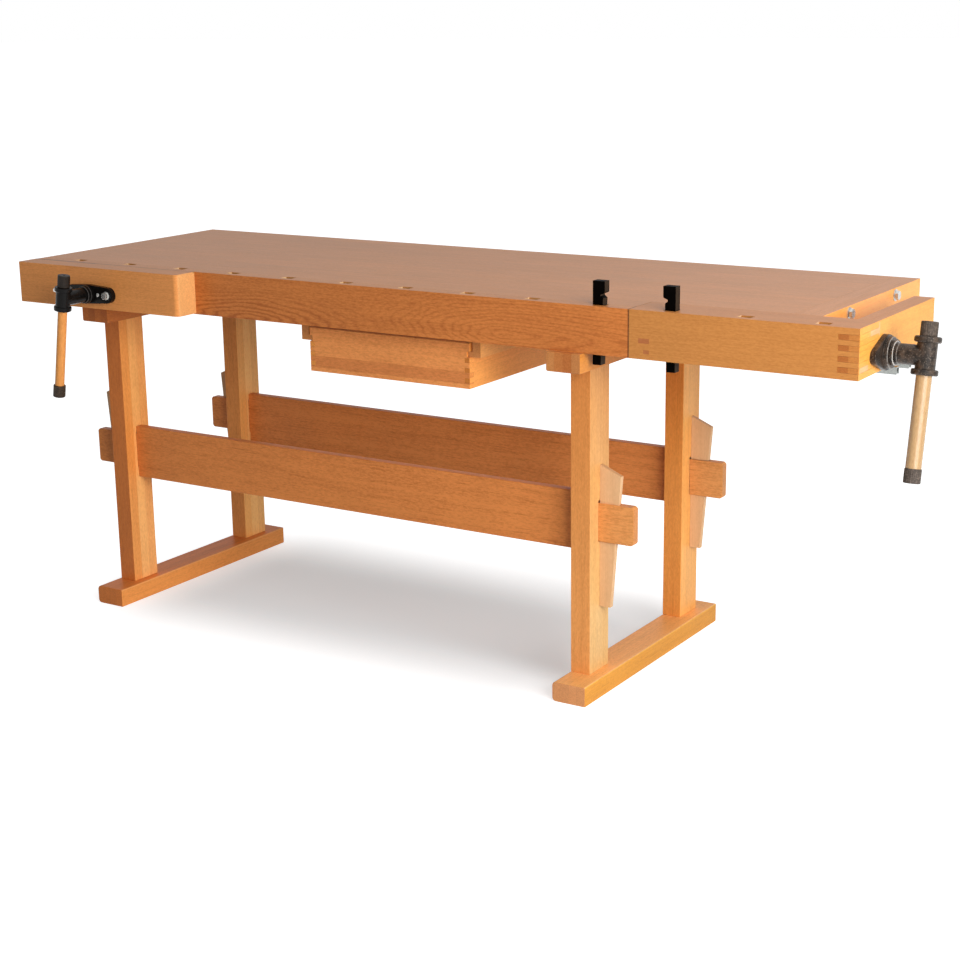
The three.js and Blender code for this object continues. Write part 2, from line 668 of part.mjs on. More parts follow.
// A handle about the origin, hanging with its upper cap on the head.
function handle(prefix, tubeLength, length, diameter, capRadius) {
  const capTop = tubeLength / 2 + FIT + HANDLE_CAP_LENGTH;
  const low = capTop - length;
  const spigot = capRadius - HANDLE_CAP_WALL - FIT;
  const shoulderTop = capTop - HANDLE_CAP_LENGTH;
  const shoulderLow = low + HANDLE_CAP_LENGTH;
  const stub = HANDLE_CAP_END + FIT;
  const wood = turned(
    [
      [0, low + stub],
      [spigot, low + stub],
      [spigot, shoulderLow],
      [diameter / 2, shoulderLow],
      [diameter / 2, shoulderTop],
      [spigot, shoulderTop],
      [spigot, capTop - stub],
      [0, capTop - stub],
    ],
    "z",
    [0, 0, 0],
  );
  const cap = (mouth, crown) => {
    const up = Math.sign(crown - mouth);
    const soft = HANDLE_CAP_WALL / 2;
    return turned(
      [
        [spigot + FIT, mouth],
        [capRadius, mouth],
        [capRadius, crown - up * soft],
        [capRadius - soft, crown],
        [0, crown],
        [0, crown - up * HANDLE_CAP_END],
        [spigot + FIT, crown - up * HANDLE_CAP_END],
        [spigot + FIT, mouth],
      ],
      "z",
      [0, 0, 0],
    );
  };
  return [
    piece(prefix + "_handle", wood, PALE_WOOD),
    piece(prefix + "_handle_cap_upper", cap(shoulderTop, capTop), BLACK, true),
    piece(prefix + "_handle_cap_lower", cap(shoulderLow, low), BLACK, true),
  ];
}

// Front vise
const jawBackY = -FIT;
const jawFrontY = jawBackY - JAW_THICKNESS;
const jawX0 = -JAW_OVERHANG;
const jawX1 = jawX0 + JAW_LENGTH;
const jawBlock = prismZ(
  [
    [jawX1, jawBackY],
    [jawX0, jawBackY],
    ...arc(jawX0 + JAW_ROUNDING_LEFT, jawFrontY + JAW_ROUNDING_LEFT, JAW_ROUNDING_LEFT, 180, 270),
    ...arc(jawX1 - JAW_ROUNDING_RIGHT, jawFrontY + JAW_ROUNDING_RIGHT, JAW_ROUNDING_RIGHT, 270, 360),
  ],
  topZ - JAW_HEIGHT,
  topZ,
);
const rodFrontY = jawBackY - GUIDE_ROD_SEAT;
const flangeBoltEndY = jawFrontY + FLANGE_BOLT_DEPTH;
piece(
  "front_jaw",
  cut(
    jawBlock,
    rod(SCREW_DIAMETER / 2 + RUNNING_FIT, jawFrontY - LAP, LAP, "y", [frontScrewX, 0, frontScrewZ]),
    ...rodXs.map((x) =>
      rod(GUIDE_ROD_DIAMETER / 2 + FIT, rodFrontY - FIT, LAP, "y", [x, 0, frontScrewZ], SMALL_ROUND),
    ),
    ...earXs.map((x) =>
      rod(
        FLANGE_BOLT_DIAMETER / 2 + FIT,
        jawFrontY - LAP,
        flangeBoltEndY + FIT,
        "y",
        [x, 0, frontScrewZ],
        SMALL_ROUND,
      ),
    ),
  ),
  WOOD,
);
const flangeFaceY = jawFrontY - FLANGE_THICKNESS;
const frontFlangeOutline = earedOutline(FRONT_HUB_RADIUS, FRONT_EAR_RADIUS, FRONT_FLANGE_REACH).map(
  ([u, v]) => [frontScrewX + u, frontScrewZ + v],
);
piece(
  "front_flange",
  cut(
    join(
      prismY(frontFlangeOutline, flangeFaceY, jawFrontY),
      rod(
        FRONT_HUB_RADIUS - HUB_STEP,
        flangeFaceY - HUB_HEIGHT,
        jawFrontY - LAP,
        "y",
        [frontScrewX, 0, frontScrewZ],
      ),
    ),
    rod(
      SCREW_DIAMETER / 2 + RUNNING_FIT,
      flangeFaceY - HUB_HEIGHT - LAP,
      jawFrontY + LAP,
      "y",
      [frontScrewX, 0, frontScrewZ],
    ),
    ...earXs.map((x) =>
      rod(
        FLANGE_BOLT_DIAMETER / 2 + FIT,
        flangeFaceY - LAP,
        jawFrontY + LAP,
        "y",
        [x, 0, frontScrewZ],
        SMALL_ROUND,
      ),
    ),
  ),
  BLACK,
  true,
);
rodXs.forEach((x, s) =>
  piece(
    "front_guide_rod_" + sides[s],
    rod(
      GUIDE_ROD_DIAMETER / 2,
      rodFrontY,
      rodFrontY + GUIDE_ROD_LENGTH,
      "y",
      [x, 0, frontScrewZ],
      SMALL_ROUND,
    ),
    STEEL,
    true,
  ),
);
earXs.forEach((x, s) => {
  const at = [x, 0, frontScrewZ];
  const washerY = flangeFaceY - FLANGE_WASHER_THICKNESS;
  piece(
    "front_flange_bolt_" + sides[s],
    join(
      rod(FLANGE_BOLT_DIAMETER / 2, washerY, flangeBoltEndY, "y", at, SMALL_ROUND),
      rod(FLANGE_WASHER_RADIUS, washerY, flangeFaceY, "y", at, SMALL_ROUND),
      hex(FLANGE_BOLT_HEAD_RADIUS, washerY - FLANGE_BOLT_HEAD_HEIGHT, washerY + LAP, "y", at),
    ),
    STEEL,
    true,
  );
});
const frontHeadY = jawFrontY - FRONT_HEAD_REACH;
const frontScrewStartY = flangeFaceY - HUB_HEIGHT - RUNNING_FIT - SCREW_SEAT;
piece(
  "front_screw",
  rod(
    SCREW_DIAMETER / 2,
    frontScrewStartY,
    frontScrewStartY + FRONT_SCREW_LENGTH,
    "y",
    [frontScrewX, 0, frontScrewZ],
  ),
  STEEL,
  true,
);
const frontNut = piece(
  "front_nut",
  nut("y", slabY, NUT_FLANGE_LENGTH, NUT_FLANGE_WIDTH),
  CAST,
  true,
);
frontNut.position.set(frontScrewX, 0, frontScrewZ);
const headBoltZ = FRONT_TUBE_LENGTH / 2 - FRONT_COLLAR_HEIGHT - HEAD_BOLT_BELOW;
const headBoltEnd = HEAD_BOLT_SEAT - FRONT_TUBE_RADIUS;
const headBoltHole = rod(
  HEAD_BOLT_DIAMETER / 2 + FIT,
  -2 * FRONT_COLLAR_RADIUS,
  headBoltEnd + FIT,
  "x",
  [0, 0, headBoltZ],
  SMALL_ROUND,
);
const frontHead = piece(
  "front_head",
  cut(
    head(
      "y",
      FRONT_HEAD_REACH,
      FRONT_BARREL_RADIUS,
      FRONT_RING_RADIUS,
      FRONT_TUBE_RADIUS,
      FRONT_TUBE_LENGTH,
      FRONT_COLLAR_RADIUS,
      FRONT_COLLAR_HEIGHT,
      FRONT_HANDLE_DIAMETER,
    ),
    headBoltHole,
  ),
  BLACK,
  true,
);
const frontHeadBolt = piece(
  "front_head_bolt",
  join(
    rod(
      HEAD_BOLT_DIAMETER / 2,
      -FRONT_COLLAR_RADIUS - FIT - LAP,
      headBoltEnd,
      "x",
      [0, 0, headBoltZ],
      SMALL_ROUND,
    ),
    hex(
      HEAD_BOLT_HEAD_RADIUS,
      -FRONT_COLLAR_RADIUS - FIT - HEAD_BOLT_HEAD_HEIGHT,
      -FRONT_COLLAR_RADIUS - FIT,
      "x",
      [0, 0, headBoltZ],
    ),
  ),
  STEEL,
  true,
);
const frontTurned = [
  frontHead,
  frontHeadBolt,
  ...handle("front", FRONT_TUBE_LENGTH, FRONT_HANDLE_LENGTH, FRONT_HANDLE_DIAMETER, FRONT_CAP_RADIUS),
];
for (const mesh of frontTurned) {
  mesh.rotation.y = THREE.MathUtils.degToRad(FRONT_LEAN);
  mesh.position.set(frontScrewX, frontHeadY, frontScrewZ);
}

// Tail vise: front block and end beam, finger-jointed at the corner
const blockX0 = recessX + SPLIT_GAP;
const blockY1 = slabY - TAIL_GAP;
const beamX0 = TOP_LENGTH + TAIL_BEAM_GAP;
const beamX1 = beamX0 + TAIL_BEAM_THICKNESS;
const fingerZs = [];
for (let i = 0; i < FINGER_COUNT; i++)
  fingerZs.push(topZ - RAIL_HEIGHT / 2 + (i - (FINGER_COUNT - 1) / 2) * FINGER_PITCH);
const tailDogXs = [];
for (let i = 0; i < TAIL_DOG_COUNT; i++) tailDogXs.push(recessX + TAIL_DOG_FIRST + i * TAIL_DOG_SPACING);
const tongue = box(
  blockX0 + TONGUE_END_GAP,
  TOP_LENGTH - TONGUE_END_GAP,
  blockY1 - LAP,
  blockY1 + TONGUE_DEPTH,
  slabMiddleZ - TONGUE_HEIGHT / 2,
  slabMiddleZ + TONGUE_HEIGHT / 2,
);
piece(
  "tail_block",
  join(
    cut(
      box(blockX0, beamX1, 0, blockY1, railZ, topZ),
      ...tailDogXs.map(dogHole),
      ...fingerZs.map((z) =>
        box(
          beamX0 - FIT,
          beamX1 + LAP,
          -LAP,
          blockY1 + LAP,
          z - FINGER_HEIGHT / 2 - FIT,
          z + FINGER_HEIGHT / 2 + FIT,
        ),
      ),
    ),
    tongue,
  ),
  WOOD,
);
piece(
  "tail_beam",
  cut(
    join(
      box(beamX0, beamX1, blockY1 + FIT, TAIL_BEAM_LENGTH, railZ, topZ),
      ...fingerZs.map((z) =>
        box(beamX0, beamX1, 0, blockY1 + LAP, z - FINGER_HEIGHT / 2, z + FINGER_HEIGHT / 2),
      ),
    ),
    rod(SCREW_DIAMETER / 2 + RUNNING_FIT, beamX0 - LAP, beamX1 + LAP, "x", [0, tailScrewY, tailScrewZ]),
  ),
  PALE_WOOD,
);
const tailFlangeX = beamX1 + FLANGE_THICKNESS;
const tailFlangeOutline = earedOutline(TAIL_HUB_RADIUS, TAIL_EAR_RADIUS, TAIL_FLANGE_REACH).map(
  ([u, v]) => [tailScrewY + u, tailScrewZ + v],
);
piece(
  "tail_flange",
  cut(
    join(
      prismX(tailFlangeOutline, beamX1, tailFlangeX),
      rod(
        TAIL_RING_RADIUS + TAIL_HUB_MARGIN,
        beamX1 + LAP,
        tailFlangeX + HUB_HEIGHT,
        "x",
        [0, tailScrewY, tailScrewZ],
      ),
    ),
    rod(
      SCREW_DIAMETER / 2 + RUNNING_FIT,
      beamX1 - LAP,
      tailFlangeX + HUB_HEIGHT + LAP,
      "x",
      [0, tailScrewY, tailScrewZ],
    ),
  ),
  CAST,
  true,
);
const tailScrewEndX = tailFlangeX + HUB_HEIGHT + RUNNING_FIT + SCREW_SEAT;
piece(
  "tail_screw",
  rod(
    SCREW_DIAMETER / 2,
    tailScrewEndX - TAIL_SCREW_LENGTH,
    tailScrewEndX,
    "x",
    [0, tailScrewY, tailScrewZ],
  ),
  STEEL,
  true,
);
const tailNut = piece(
  "tail_nut",
  nut("x", capRightX, NUT_FLANGE_WIDTH, NUT_FLANGE_LENGTH),
  CAST,
  true,
);
tailNut.position.set(0, tailScrewY, tailScrewZ);
const tailHead = piece(
  "tail_head",
  head(
    "x",
    TAIL_HEAD_REACH,
    TAIL_BARREL_RADIUS,
    TAIL_RING_RADIUS,
    TAIL_TUBE_RADIUS,
    TAIL_TUBE_LENGTH,
    TAIL_COLLAR_RADIUS,
    TAIL_COLLAR_HEIGHT,
    TAIL_HANDLE_DIAMETER,
  ),
  CAST,
  true,
);
const tailTurned = [
  tailHead,
  ...handle("tail", TAIL_TUBE_LENGTH, TAIL_HANDLE_LENGTH, TAIL_HANDLE_DIAMETER, TAIL_CAP_RADIUS),
];
const tailHeadX = beamX1 + TAIL_HEAD_REACH;
for (const mesh of tailTurned) {
  mesh.rotation.x = -THREE.MathUtils.degToRad(TAIL_LEAN);
  mesh.position.set(tailHeadX, tailScrewY, tailScrewZ);
}

// Guide rails under the end beam and the bracket under the end cap that they slide in
const slideYs = [SLIDE_RAIL_FROM_FRONT, SLIDE_RAIL_FROM_FRONT + SLIDE_RAIL_SPACING];
const slideZ = railZ - SLIDE_RAIL_SIZE;
const slideX1 = beamX1 + SLIDE_RAIL_PROUD;
slideYs.forEach((y, e) => {
  const y1 = y + SLIDE_RAIL_SIZE;
  const w = SLIDE_RAIL_WALL;
  piece(
    "tail_guide_rail_" + ends[e],
    prismX(
      [
        [y, slideZ],
        [y + w, slideZ],
        [y + w, railZ - w],
        [y1 - w, railZ - w],
        [y1 - w, slideZ],
        [y1, slideZ],
        [y1, railZ],
        [y, railZ],
      ],
      slideX1 - SLIDE_RAIL_LENGTH,
      slideX1,
    ),
    STEEL,
    true,
  );
});
piece(
  "tail_guide_bracket",
  cut(
    box(
      capRightX,
      TOP_LENGTH,
      slideYs[0] - BRACKET_WALL,
      slideYs[1] + SLIDE_RAIL_SIZE + BRACKET_WALL,
      slideZ - BRACKET_WALL,
      capZ,
    ),
    ...slideYs.map((y) =>
      box(
        capRightX - LAP,
        TOP_LENGTH + LAP,
        y - RUNNING_FIT,
        y + SLIDE_RAIL_SIZE + RUNNING_FIT,
        slideZ - RUNNING_FIT,
        railZ + RUNNING_FIT,
      ),
    ),
  ),
  DARK_WOOD,
);

// Drawer: a finger-jointed box whose side grooves ride on the runner tongues
const drawerX0 = TOP_LENGTH - DRAWER_FROM_RIGHT - DRAWER_WIDTH / 2;
const drawerX1 = drawerX0 + DRAWER_WIDTH;
const drawerInX0 = drawerX0 + DRAWER_SIDE_THICKNESS;
const drawerInX1 = drawerX1 - DRAWER_SIDE_THICKNESS;
const drawerZ1 = railZ - DRAWER_DROP;
const drawerZ0 = drawerZ1 - DRAWER_HEIGHT;
const drawerY0 = DRAWER_SETBACK;
const drawerInY0 = drawerY0 + DRAWER_FRONT_THICKNESS;
const drawerY1 = drawerY0 + DRAWER_LENGTH;
const drawerInY1 = drawerY1 - DRAWER_SIDE_THICKNESS;
const runnerZ0 = railZ - RUNNER_DROP;
const drawerFingerZs = [];
for (let i = 0; i < DRAWER_FINGER_COUNT; i++)
  drawerFingerZs.push(drawerZ0 + DRAWER_FINGER_FIRST + i * DRAWER_FINGER_PITCH);
const tongueGrooves = [
  [drawerX0 - LAP, drawerX0 + RUNNER_TONGUE_SEAT],
  [drawerX1 - RUNNER_TONGUE_SEAT, drawerX1 + LAP],
].map(([x0, x1]) =>
  box(
    x0,
    x1,
    drawerY0 - LAP,
    drawerY1 + LAP,
    runnerZ0 - RUNNING_FIT,
    runnerZ0 + RUNNER_TONGUE_HEIGHT + RUNNING_FIT,
  ),
);
const bottomZ0 = drawerZ0 + DRAWER_BOTTOM_RISE;
const bottomZ1 = bottomZ0 + DRAWER_BOTTOM_THICKNESS;
const bottomGroove = box(
  drawerInX0 - DRAWER_GROOVE - FIT,
  drawerInX1 + DRAWER_GROOVE + FIT,
  drawerInY0 - DRAWER_GROOVE - FIT,
  drawerInY1 + DRAWER_GROOVE + FIT,
  bottomZ0 - FIT,
  bottomZ1 + FIT,
);
piece(
  "drawer_bottom",
  box(
    drawerInX0 - DRAWER_GROOVE,
    drawerInX1 + DRAWER_GROOVE,
    drawerInY0 - DRAWER_GROOVE,
    drawerInY1 + DRAWER_GROOVE,
    bottomZ0,
    bottomZ1,
  ),
  PALE_WOOD,
);
const fingerSlots = [
  [drawerX0 - LAP, drawerInX0 + FIT],
  [drawerInX1 - FIT, drawerX1 + LAP],
].flatMap(([x0, x1]) =>
  drawerFingerZs.map((z) =>
    box(
      x0,
      x1,
      drawerY0 - LAP,
      drawerInY0 + LAP,
      z - DRAWER_FINGER_HEIGHT / 2 - FIT,
      z + DRAWER_FINGER_HEIGHT / 2 + FIT,
    ),
  ),
);
piece(
  "drawer_front",
  cut(
    box(drawerX0, drawerX1, drawerY0, drawerInY0, drawerZ0, drawerZ1),
    ...fingerSlots,
    ...tongueGrooves,
    bottomGroove,
  ),
  WOOD,
);
piece(
  "drawer_back",
  cut(
    box(drawerInX0, drawerInX1, drawerInY1, drawerY1, drawerZ0, drawerZ1 - DRAWER_BACK_DROP),
    bottomGroove,
  ),
  WOOD,
);
[
  [drawerX0, drawerInX0],
  [drawerInX1, drawerX1],
].forEach(([x0, x1], s) => {
  const wall = box(x0, x1, drawerInY0, drawerY1, drawerZ0, drawerZ1);
  const fingers = drawerFingerZs.map((z) =>
    box(x0, x1, drawerY0, drawerInY0 + LAP, z - DRAWER_FINGER_HEIGHT / 2, z + DRAWER_FINGER_HEIGHT / 2),
  );
  piece(
    "drawer_side_" + sides[s],
    cut(join(wall, ...fingers), ...tongueGrooves, bottomGroove),
    WOOD,
  );
});
const runnerY0 = drawerY0 + RUNNER_SETBACK;
const runnerY1 = runnerY0 + RUNNER_LENGTH;
[drawerX0 - RUNNER_GAP - RUNNER_WIDTH, drawerX1 + RUNNER_GAP].forEach((x0, s) => {
  const x1 = x0 + RUNNER_WIDTH;
  const board = prismX(
    [
      [runnerY0, runnerZ0],
      [runnerY1, runnerZ0],
      [runnerY1, slabZ],
      [slabY, slabZ],
      [slabY, railZ],
      [runnerY0, railZ],
    ],
    x0,
    x1,
  );
  const reach = RUNNER_GAP + RUNNER_TONGUE_SEAT - RUNNING_FIT;
  const tongueX = s === 0 ? [x1 - LAP, x1 + reach] : [x0 - reach, x0 + LAP];
  const rib = box(...tongueX, runnerY0, runnerY1, runnerZ0, runnerZ0 + RUNNER_TONGUE_HEIGHT);
  piece("drawer_runner_" + sides[s], join(board, rib), DARK_WOOD);
});

// Bench dogs, one at the end of the front rail and one in the tail vise, with notches facing
const dogY0 = DOG_FACE + RUNNING_FIT;
const dogY1 = stripY - RUNNING_FIT;
const dogHalf = DOG_HOLE_WIDTH / 2 - RUNNING_FIT;
const dogTopZ = topZ + DOG_RISE;
const notchZ = dogTopZ - DOG_NOTCH_BELOW;
[
  ["dog_left", dogXs[dogXs.length - 1], 1],
  ["dog_right", tailDogXs[0], -1],
].forEach(([name, x, facing]) => {
  const at = (u, z) => [x + facing * u, z];
  piece(
    name,
    prismY(
      [
        at(-dogHalf, dogTopZ - DOG_HEIGHT),
        at(dogHalf - DOG_TIP_RELIEF, dogTopZ - DOG_HEIGHT),
        at(dogHalf - DOG_STEM_RELIEF, notchZ - DOG_NOTCH_HALF),
        at(dogHalf - DOG_NOTCH_DEPTH, notchZ - DOG_NOTCH_FLAT / 2),
        at(dogHalf - DOG_NOTCH_DEPTH, notchZ + DOG_NOTCH_FLAT / 2),
        at(dogHalf, notchZ + DOG_NOTCH_HALF),
        at(dogHalf, dogTopZ),
        at(-dogHalf, dogTopZ),
      ],
      dogY0,
      dogY1,
    ),
    BLACK,
    true,
  );
});

// The origin: on the floor, under the middle of the bounding box
const leastX = Math.min(jawX0, -WASHER_THICKNESS - BOLT_HEAD_HEIGHT);
const mostX = tailHeadX + TAIL_COLLAR_RADIUS;
const leastY = frontHeadY - FRONT_COLLAR_RADIUS;
const mostY = TOP_DEPTH;
bench.position.set(-(leastX + mostX) / 2, -(leastY + mostY) / 2, 0);

export default bench;
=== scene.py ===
import json
import math

import bmesh
import bpy
from mathutils import Matrix, Vector


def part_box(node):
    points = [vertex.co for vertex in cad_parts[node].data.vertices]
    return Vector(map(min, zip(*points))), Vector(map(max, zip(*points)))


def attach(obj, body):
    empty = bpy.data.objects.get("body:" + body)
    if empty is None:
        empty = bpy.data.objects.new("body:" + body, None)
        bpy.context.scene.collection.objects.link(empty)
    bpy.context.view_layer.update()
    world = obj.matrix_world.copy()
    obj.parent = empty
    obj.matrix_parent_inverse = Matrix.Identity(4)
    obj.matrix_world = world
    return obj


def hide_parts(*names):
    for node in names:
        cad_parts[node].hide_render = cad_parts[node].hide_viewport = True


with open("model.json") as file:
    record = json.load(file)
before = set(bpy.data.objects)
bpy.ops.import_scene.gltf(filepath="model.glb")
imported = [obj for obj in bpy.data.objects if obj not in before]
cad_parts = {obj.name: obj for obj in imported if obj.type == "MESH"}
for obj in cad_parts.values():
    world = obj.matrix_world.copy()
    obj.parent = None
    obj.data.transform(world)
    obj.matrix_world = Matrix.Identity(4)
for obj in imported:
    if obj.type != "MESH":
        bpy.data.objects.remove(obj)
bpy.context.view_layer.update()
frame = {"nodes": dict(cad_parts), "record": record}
nodes = frame["nodes"]

AXES = "XYZ"


# A material whose nodes are added with short calls; an input takes a number, a colour or a node's output.
class Finish:
    def __init__(self, name):
        self.material = bpy.data.materials.new(name)
        self.material.use_nodes = True
        self.tree = self.material.node_tree
        self.shader = self.tree.nodes["Principled BSDF"]

    def put(self, socket, value):
        if isinstance(value, bpy.types.NodeSocket):
            self.tree.links.new(value, socket)
        elif isinstance(value, (int, float)) and hasattr(socket.default_value, "__len__"):
            socket.default_value = [value] * len(socket.default_value)
        elif hasattr(value, "__len__") and len(value) == 3 and len(socket.default_value) == 4:
            socket.default_value = (*value, 1.0)
        else:
            socket.default_value = value

    def node(self, kind, settings=None, **inputs):
        made = self.tree.nodes.new("ShaderNode" + kind)
        for key, value in (settings or {}).items():
            setattr(made, key, value)
        for key, value in inputs.items():
            self.put(made.inputs[key.replace("_", " ")], value)
        return made

    def place(self):
        return self.node("TexCoord").outputs["Object"]

    def facing(self):
        return self.node("TexCoord").outputs["Normal"]

    def parts(self, vector):
        return self.node("SeparateXYZ", Vector=vector).outputs

    def math(self, operation, a, b=0.0, c=0.0):
        made = self.tree.nodes.new("ShaderNodeMath")
        made.operation = operation
        for socket, value in zip(made.inputs, (a, b, c)):
            self.put(socket, value)
        return made.outputs[0]

    def vector(self, operation, a, b=(0, 0, 0)):
        made = self.tree.nodes.new("ShaderNodeVectorMath")
        made.operation = operation
        self.put(made.inputs[0], a)
        self.put(made.inputs[1], b)
        return made.outputs["Value" if operation in ("DOT_PRODUCT", "LENGTH") else "Vector"]

    def noise(self, vector, scale=1.0, detail=2.0, roughness=0.5):
        return self.node(
            "TexNoise", Vector=vector, Scale=scale, Detail=detail, Roughness=roughness
        ).outputs["Fac"]

    # A smooth step from 0 at low to 1 at high.
    def step(self, value, low, high):
        return self.node(
            "MapRange",
            {"interpolation_type": "SMOOTHSTEP"},
            Value=value,
            From_Min=low,
            From_Max=high,
        ).outputs["Result"]

    # 1 between low and high, 0 outside, over a soft edge.
    def within(self, value, low, high, soft):
        above = self.step(value, low - soft, low + soft)
        below = self.step(value, high + soft, high - soft)
        return self.math("MULTIPLY", above, below)

    def mix(self, share, a, b, blend="MIX"):
        made = self.tree.nodes.new("ShaderNodeMix")
        made.data_type = "RGBA"
        made.blend_type = blend
        for socket, value in ((made.inputs[0], share), (made.inputs[6], a), (made.inputs[7], b)):
            self.put(socket, value)
        return made.outputs[2]

    def toned(self, colour, tone):
        return self.mix(1.0, colour, tone, "MULTIPLY")

    def grey(self, value):
        return self.node("CombineColor", Red=value, Green=value, Blue=value).outputs[0]

    def bump(self, height, strength, distance):
        made = self.node("Bump", Height=height, Strength=strength, Distance=distance)
        self.put(self.shader.inputs["Normal"], made.outputs[0])

    def surface(self, **inputs):
        for key, value in inputs.items():
            self.put(self.shader.inputs[key.replace("_", " ")], value)
        return self.material


# Layers of the grain: how fine each is across and along the grain, in features per metre
FIBRE = (560.0, 10.0)
STREAK = (46.0, 1.7)
BAND = (150.0, 4.5)
LINE = (330.0, 13.0)
FLECK = (620.0, 95.0)
SPECK = (300.0, 105.0)
PORES = 330.0
CLOUD = 4.5
# How deep they darken the wood, besides what each piece sets, and the tone at full depth
PLAIN_DEPTH = 0.2
FIBRE_DEPTH = 0.6
FLECK_DEPTH = 0.14
FULL_DEPTH = (0.64, 0.53, 0.46)
DRIFT = 0.22
SEAM = 0.0006
SEAM_DEPTH = 0.15
MARK_SOFT = 0.0005
OVER = 0.001  # how far a mark reaches past the surface of its piece
# The normal's share along an axis from which a face begins to count as that side, and counts in full
FACING = (0.75, 0.95)


# Oiled beech with the grain along one axis: streaks, bands, fibres and flecks on a tone that drifts over the
# board. ovals are (centre, spacing, reach, strength, (squeeze behind, squeeze ahead)) of nested growth rings
# on a flat-sawn face; strips is (axis, start, width, spread of tone) of glued strips; marks are (tone, limits)
# of darker or paler places, some of them painted highlights, painted light and painted shade, each limit
# (axis, low, high); ends is the tone of the end grain, on some pieces painted paler where it faces the lamp;
# faces gives sides such as "+X" a tone of their own, mostly painted light and shade for how the lamps fall on
# each side; and fades are (side, axis, start, end, tone) of sides whose tone changes slowly along an axis, as
# painted light.
def beech(
    name,
    colour,
    grain,
    seed,
    streaks=0.4,
    bands=0.45,
    lines=0.25,
    ovals=(),
    strips=None,
    marks=(),
    gloss=0.42,
    shine=0.19,
    ends=(0.82, 0.78, 0.74),
    faces=None,
    fades=(),
    specks=1.1,
):
    f = Finish(name)
    along = AXES.index(grain)
    here = f.place()
    sample = f.vector("ADD", here, [0.37 * seed + 1.7 * k for k in range(3)])
    shade = None
    if strips:
        axis, start, width, spread = strips
        across = f.parts(here)[AXES.index(axis)]
        count = f.math("DIVIDE", f.math("SUBTRACT", across, start), width)
        index = f.math("ADD", f.math("FLOOR", count), 11.3 * seed)
        pick = f.node("TexWhiteNoise", {"noise_dimensions": "1D"}, W=index).outputs
        sample = f.vector("ADD", sample, f.vector("MULTIPLY", pick["Color"], (2.0, 2.0, 2.0)))
        part = f.math("FRACT", count)
        edge = f.math("MINIMUM", part, f.math("SUBTRACT", 1.0, part))
        seam = f.step(edge, SEAM / width, 0.0)
        shade = f.math("MULTIPLY_ADD", pick["Value"], spread, 1.0 - spread / 2)
        shade = f.math("MULTIPLY", shade, f.math("MULTIPLY_ADD", seam, -SEAM_DEPTH, 1.0))

    def stretched(wide, long):
        factors = [wide] * 3
        factors[along] = long
        return f.vector("MULTIPLY", sample, factors)

    fibre = f.noise(stretched(*FIBRE), 1.0, 3.0, 0.6)
    streak = f.noise(stretched(*STREAK), 1.0, 3.5, 0.55)
    band = f.noise(stretched(*BAND), 1.0, 2.5, 0.6)
    line = f.step(f.noise(stretched(*LINE), 1.0, 2.0, 0.5), 0.56, 0.72)
    fleck = f.step(f.noise(stretched(*FLECK), 1.0, 1.0, 0.5), 0.60, 0.74)
    speck = f.noise(stretched(*SPECK), 1.0, 2.0, 0.65)
    cloud = f.noise(sample, CLOUD, 2.0, 0.5)
    depth = f.math("MULTIPLY_ADD", f.math("SUBTRACT", streak, 0.5), streaks, PLAIN_DEPTH)
    depth = f.math("MULTIPLY_ADD", f.math("SUBTRACT", band, 0.5), bands, depth)
    depth = f.math("MULTIPLY_ADD", f.math("SUBTRACT", fibre, 0.5), FIBRE_DEPTH, depth)
    depth = f.math("MULTIPLY_ADD", line, lines, depth)
    depth = f.math("MULTIPLY_ADD", fleck, FLECK_DEPTH, depth)
    depth = f.math("MULTIPLY_ADD", f.math("SUBTRACT", speck, 0.5), specks, depth)
    for centre, spacing, reach, strength, (squeeze_behind, squeeze_ahead) in ovals:
        offset = f.parts(f.vector("SUBTRACT", here, centre))
        ahead = f.math("MULTIPLY", f.math("MAXIMUM", offset[along], 0.0), squeeze_ahead)
        behind = f.math("MULTIPLY_ADD", f.math("MINIMUM", offset[along], 0.0), squeeze_behind, ahead)
        rest = [offset[k] for k in range(3) if k != along]
        local = f.node("CombineXYZ", X=behind, Y=rest[0], Z=rest[1]).outputs[0]
        wander = f.noise(f.vector("ADD", local, (seed, seed, seed)), 34.0, 2.0, 0.5)
        radius = f.math("MULTIPLY_ADD", wander, 2.6 * spacing, f.vector("LENGTH", local))
        swing = f.math("PINGPONG", f.math("DIVIDE", radius, spacing), 0.5)
        ring = f.math("POWER", f.math("MULTIPLY", swing, 2.0), 2.2)
        fading = f.math("MULTIPLY", f.step(radius, reach, 0.3 * reach), strength)
        depth = f.math("MULTIPLY_ADD", ring, fading, depth)
    depth = f.node("Clamp", Value=depth).outputs[0]
    tone = f.mix(depth, colour, [c * k for c, k in zip(colour, FULL_DEPTH)])
    drift = f.math("MULTIPLY_ADD", cloud, DRIFT, 1.0 - DRIFT / 2)
    shade = f.math("MULTIPLY", shade, drift) if shade else drift
    for level, limits in marks:
        inside = f.math("MULTIPLY_ADD", fleck, 0.3, 0.8)
        for axis, low, high in limits:
            place = f.parts(here)[AXES.index(axis)]
            inside = f.math("MULTIPLY", inside, f.within(place, low, high, MARK_SOFT))
        tone = f.mix(inside, tone, f.toned(tone, level))
    turned = f.parts(f.facing())
    pores = f.step(f.noise(sample, PORES, 2.0, 0.6), 0.3, 0.7)
    cut = f.mix(pores, [0.96 * c for c in ends], [1.04 * c for c in ends])
    end_grain = f.step(f.math("ABSOLUTE", turned[along]), *FACING)
    tone = f.mix(end_grain, tone, f.toned(tone, cut))

    def on(side):
        toward = f.math("MULTIPLY", turned[AXES.index(side[1])], 1.0 if side[0] == "+" else -1.0)
        return f.step(toward, *FACING)
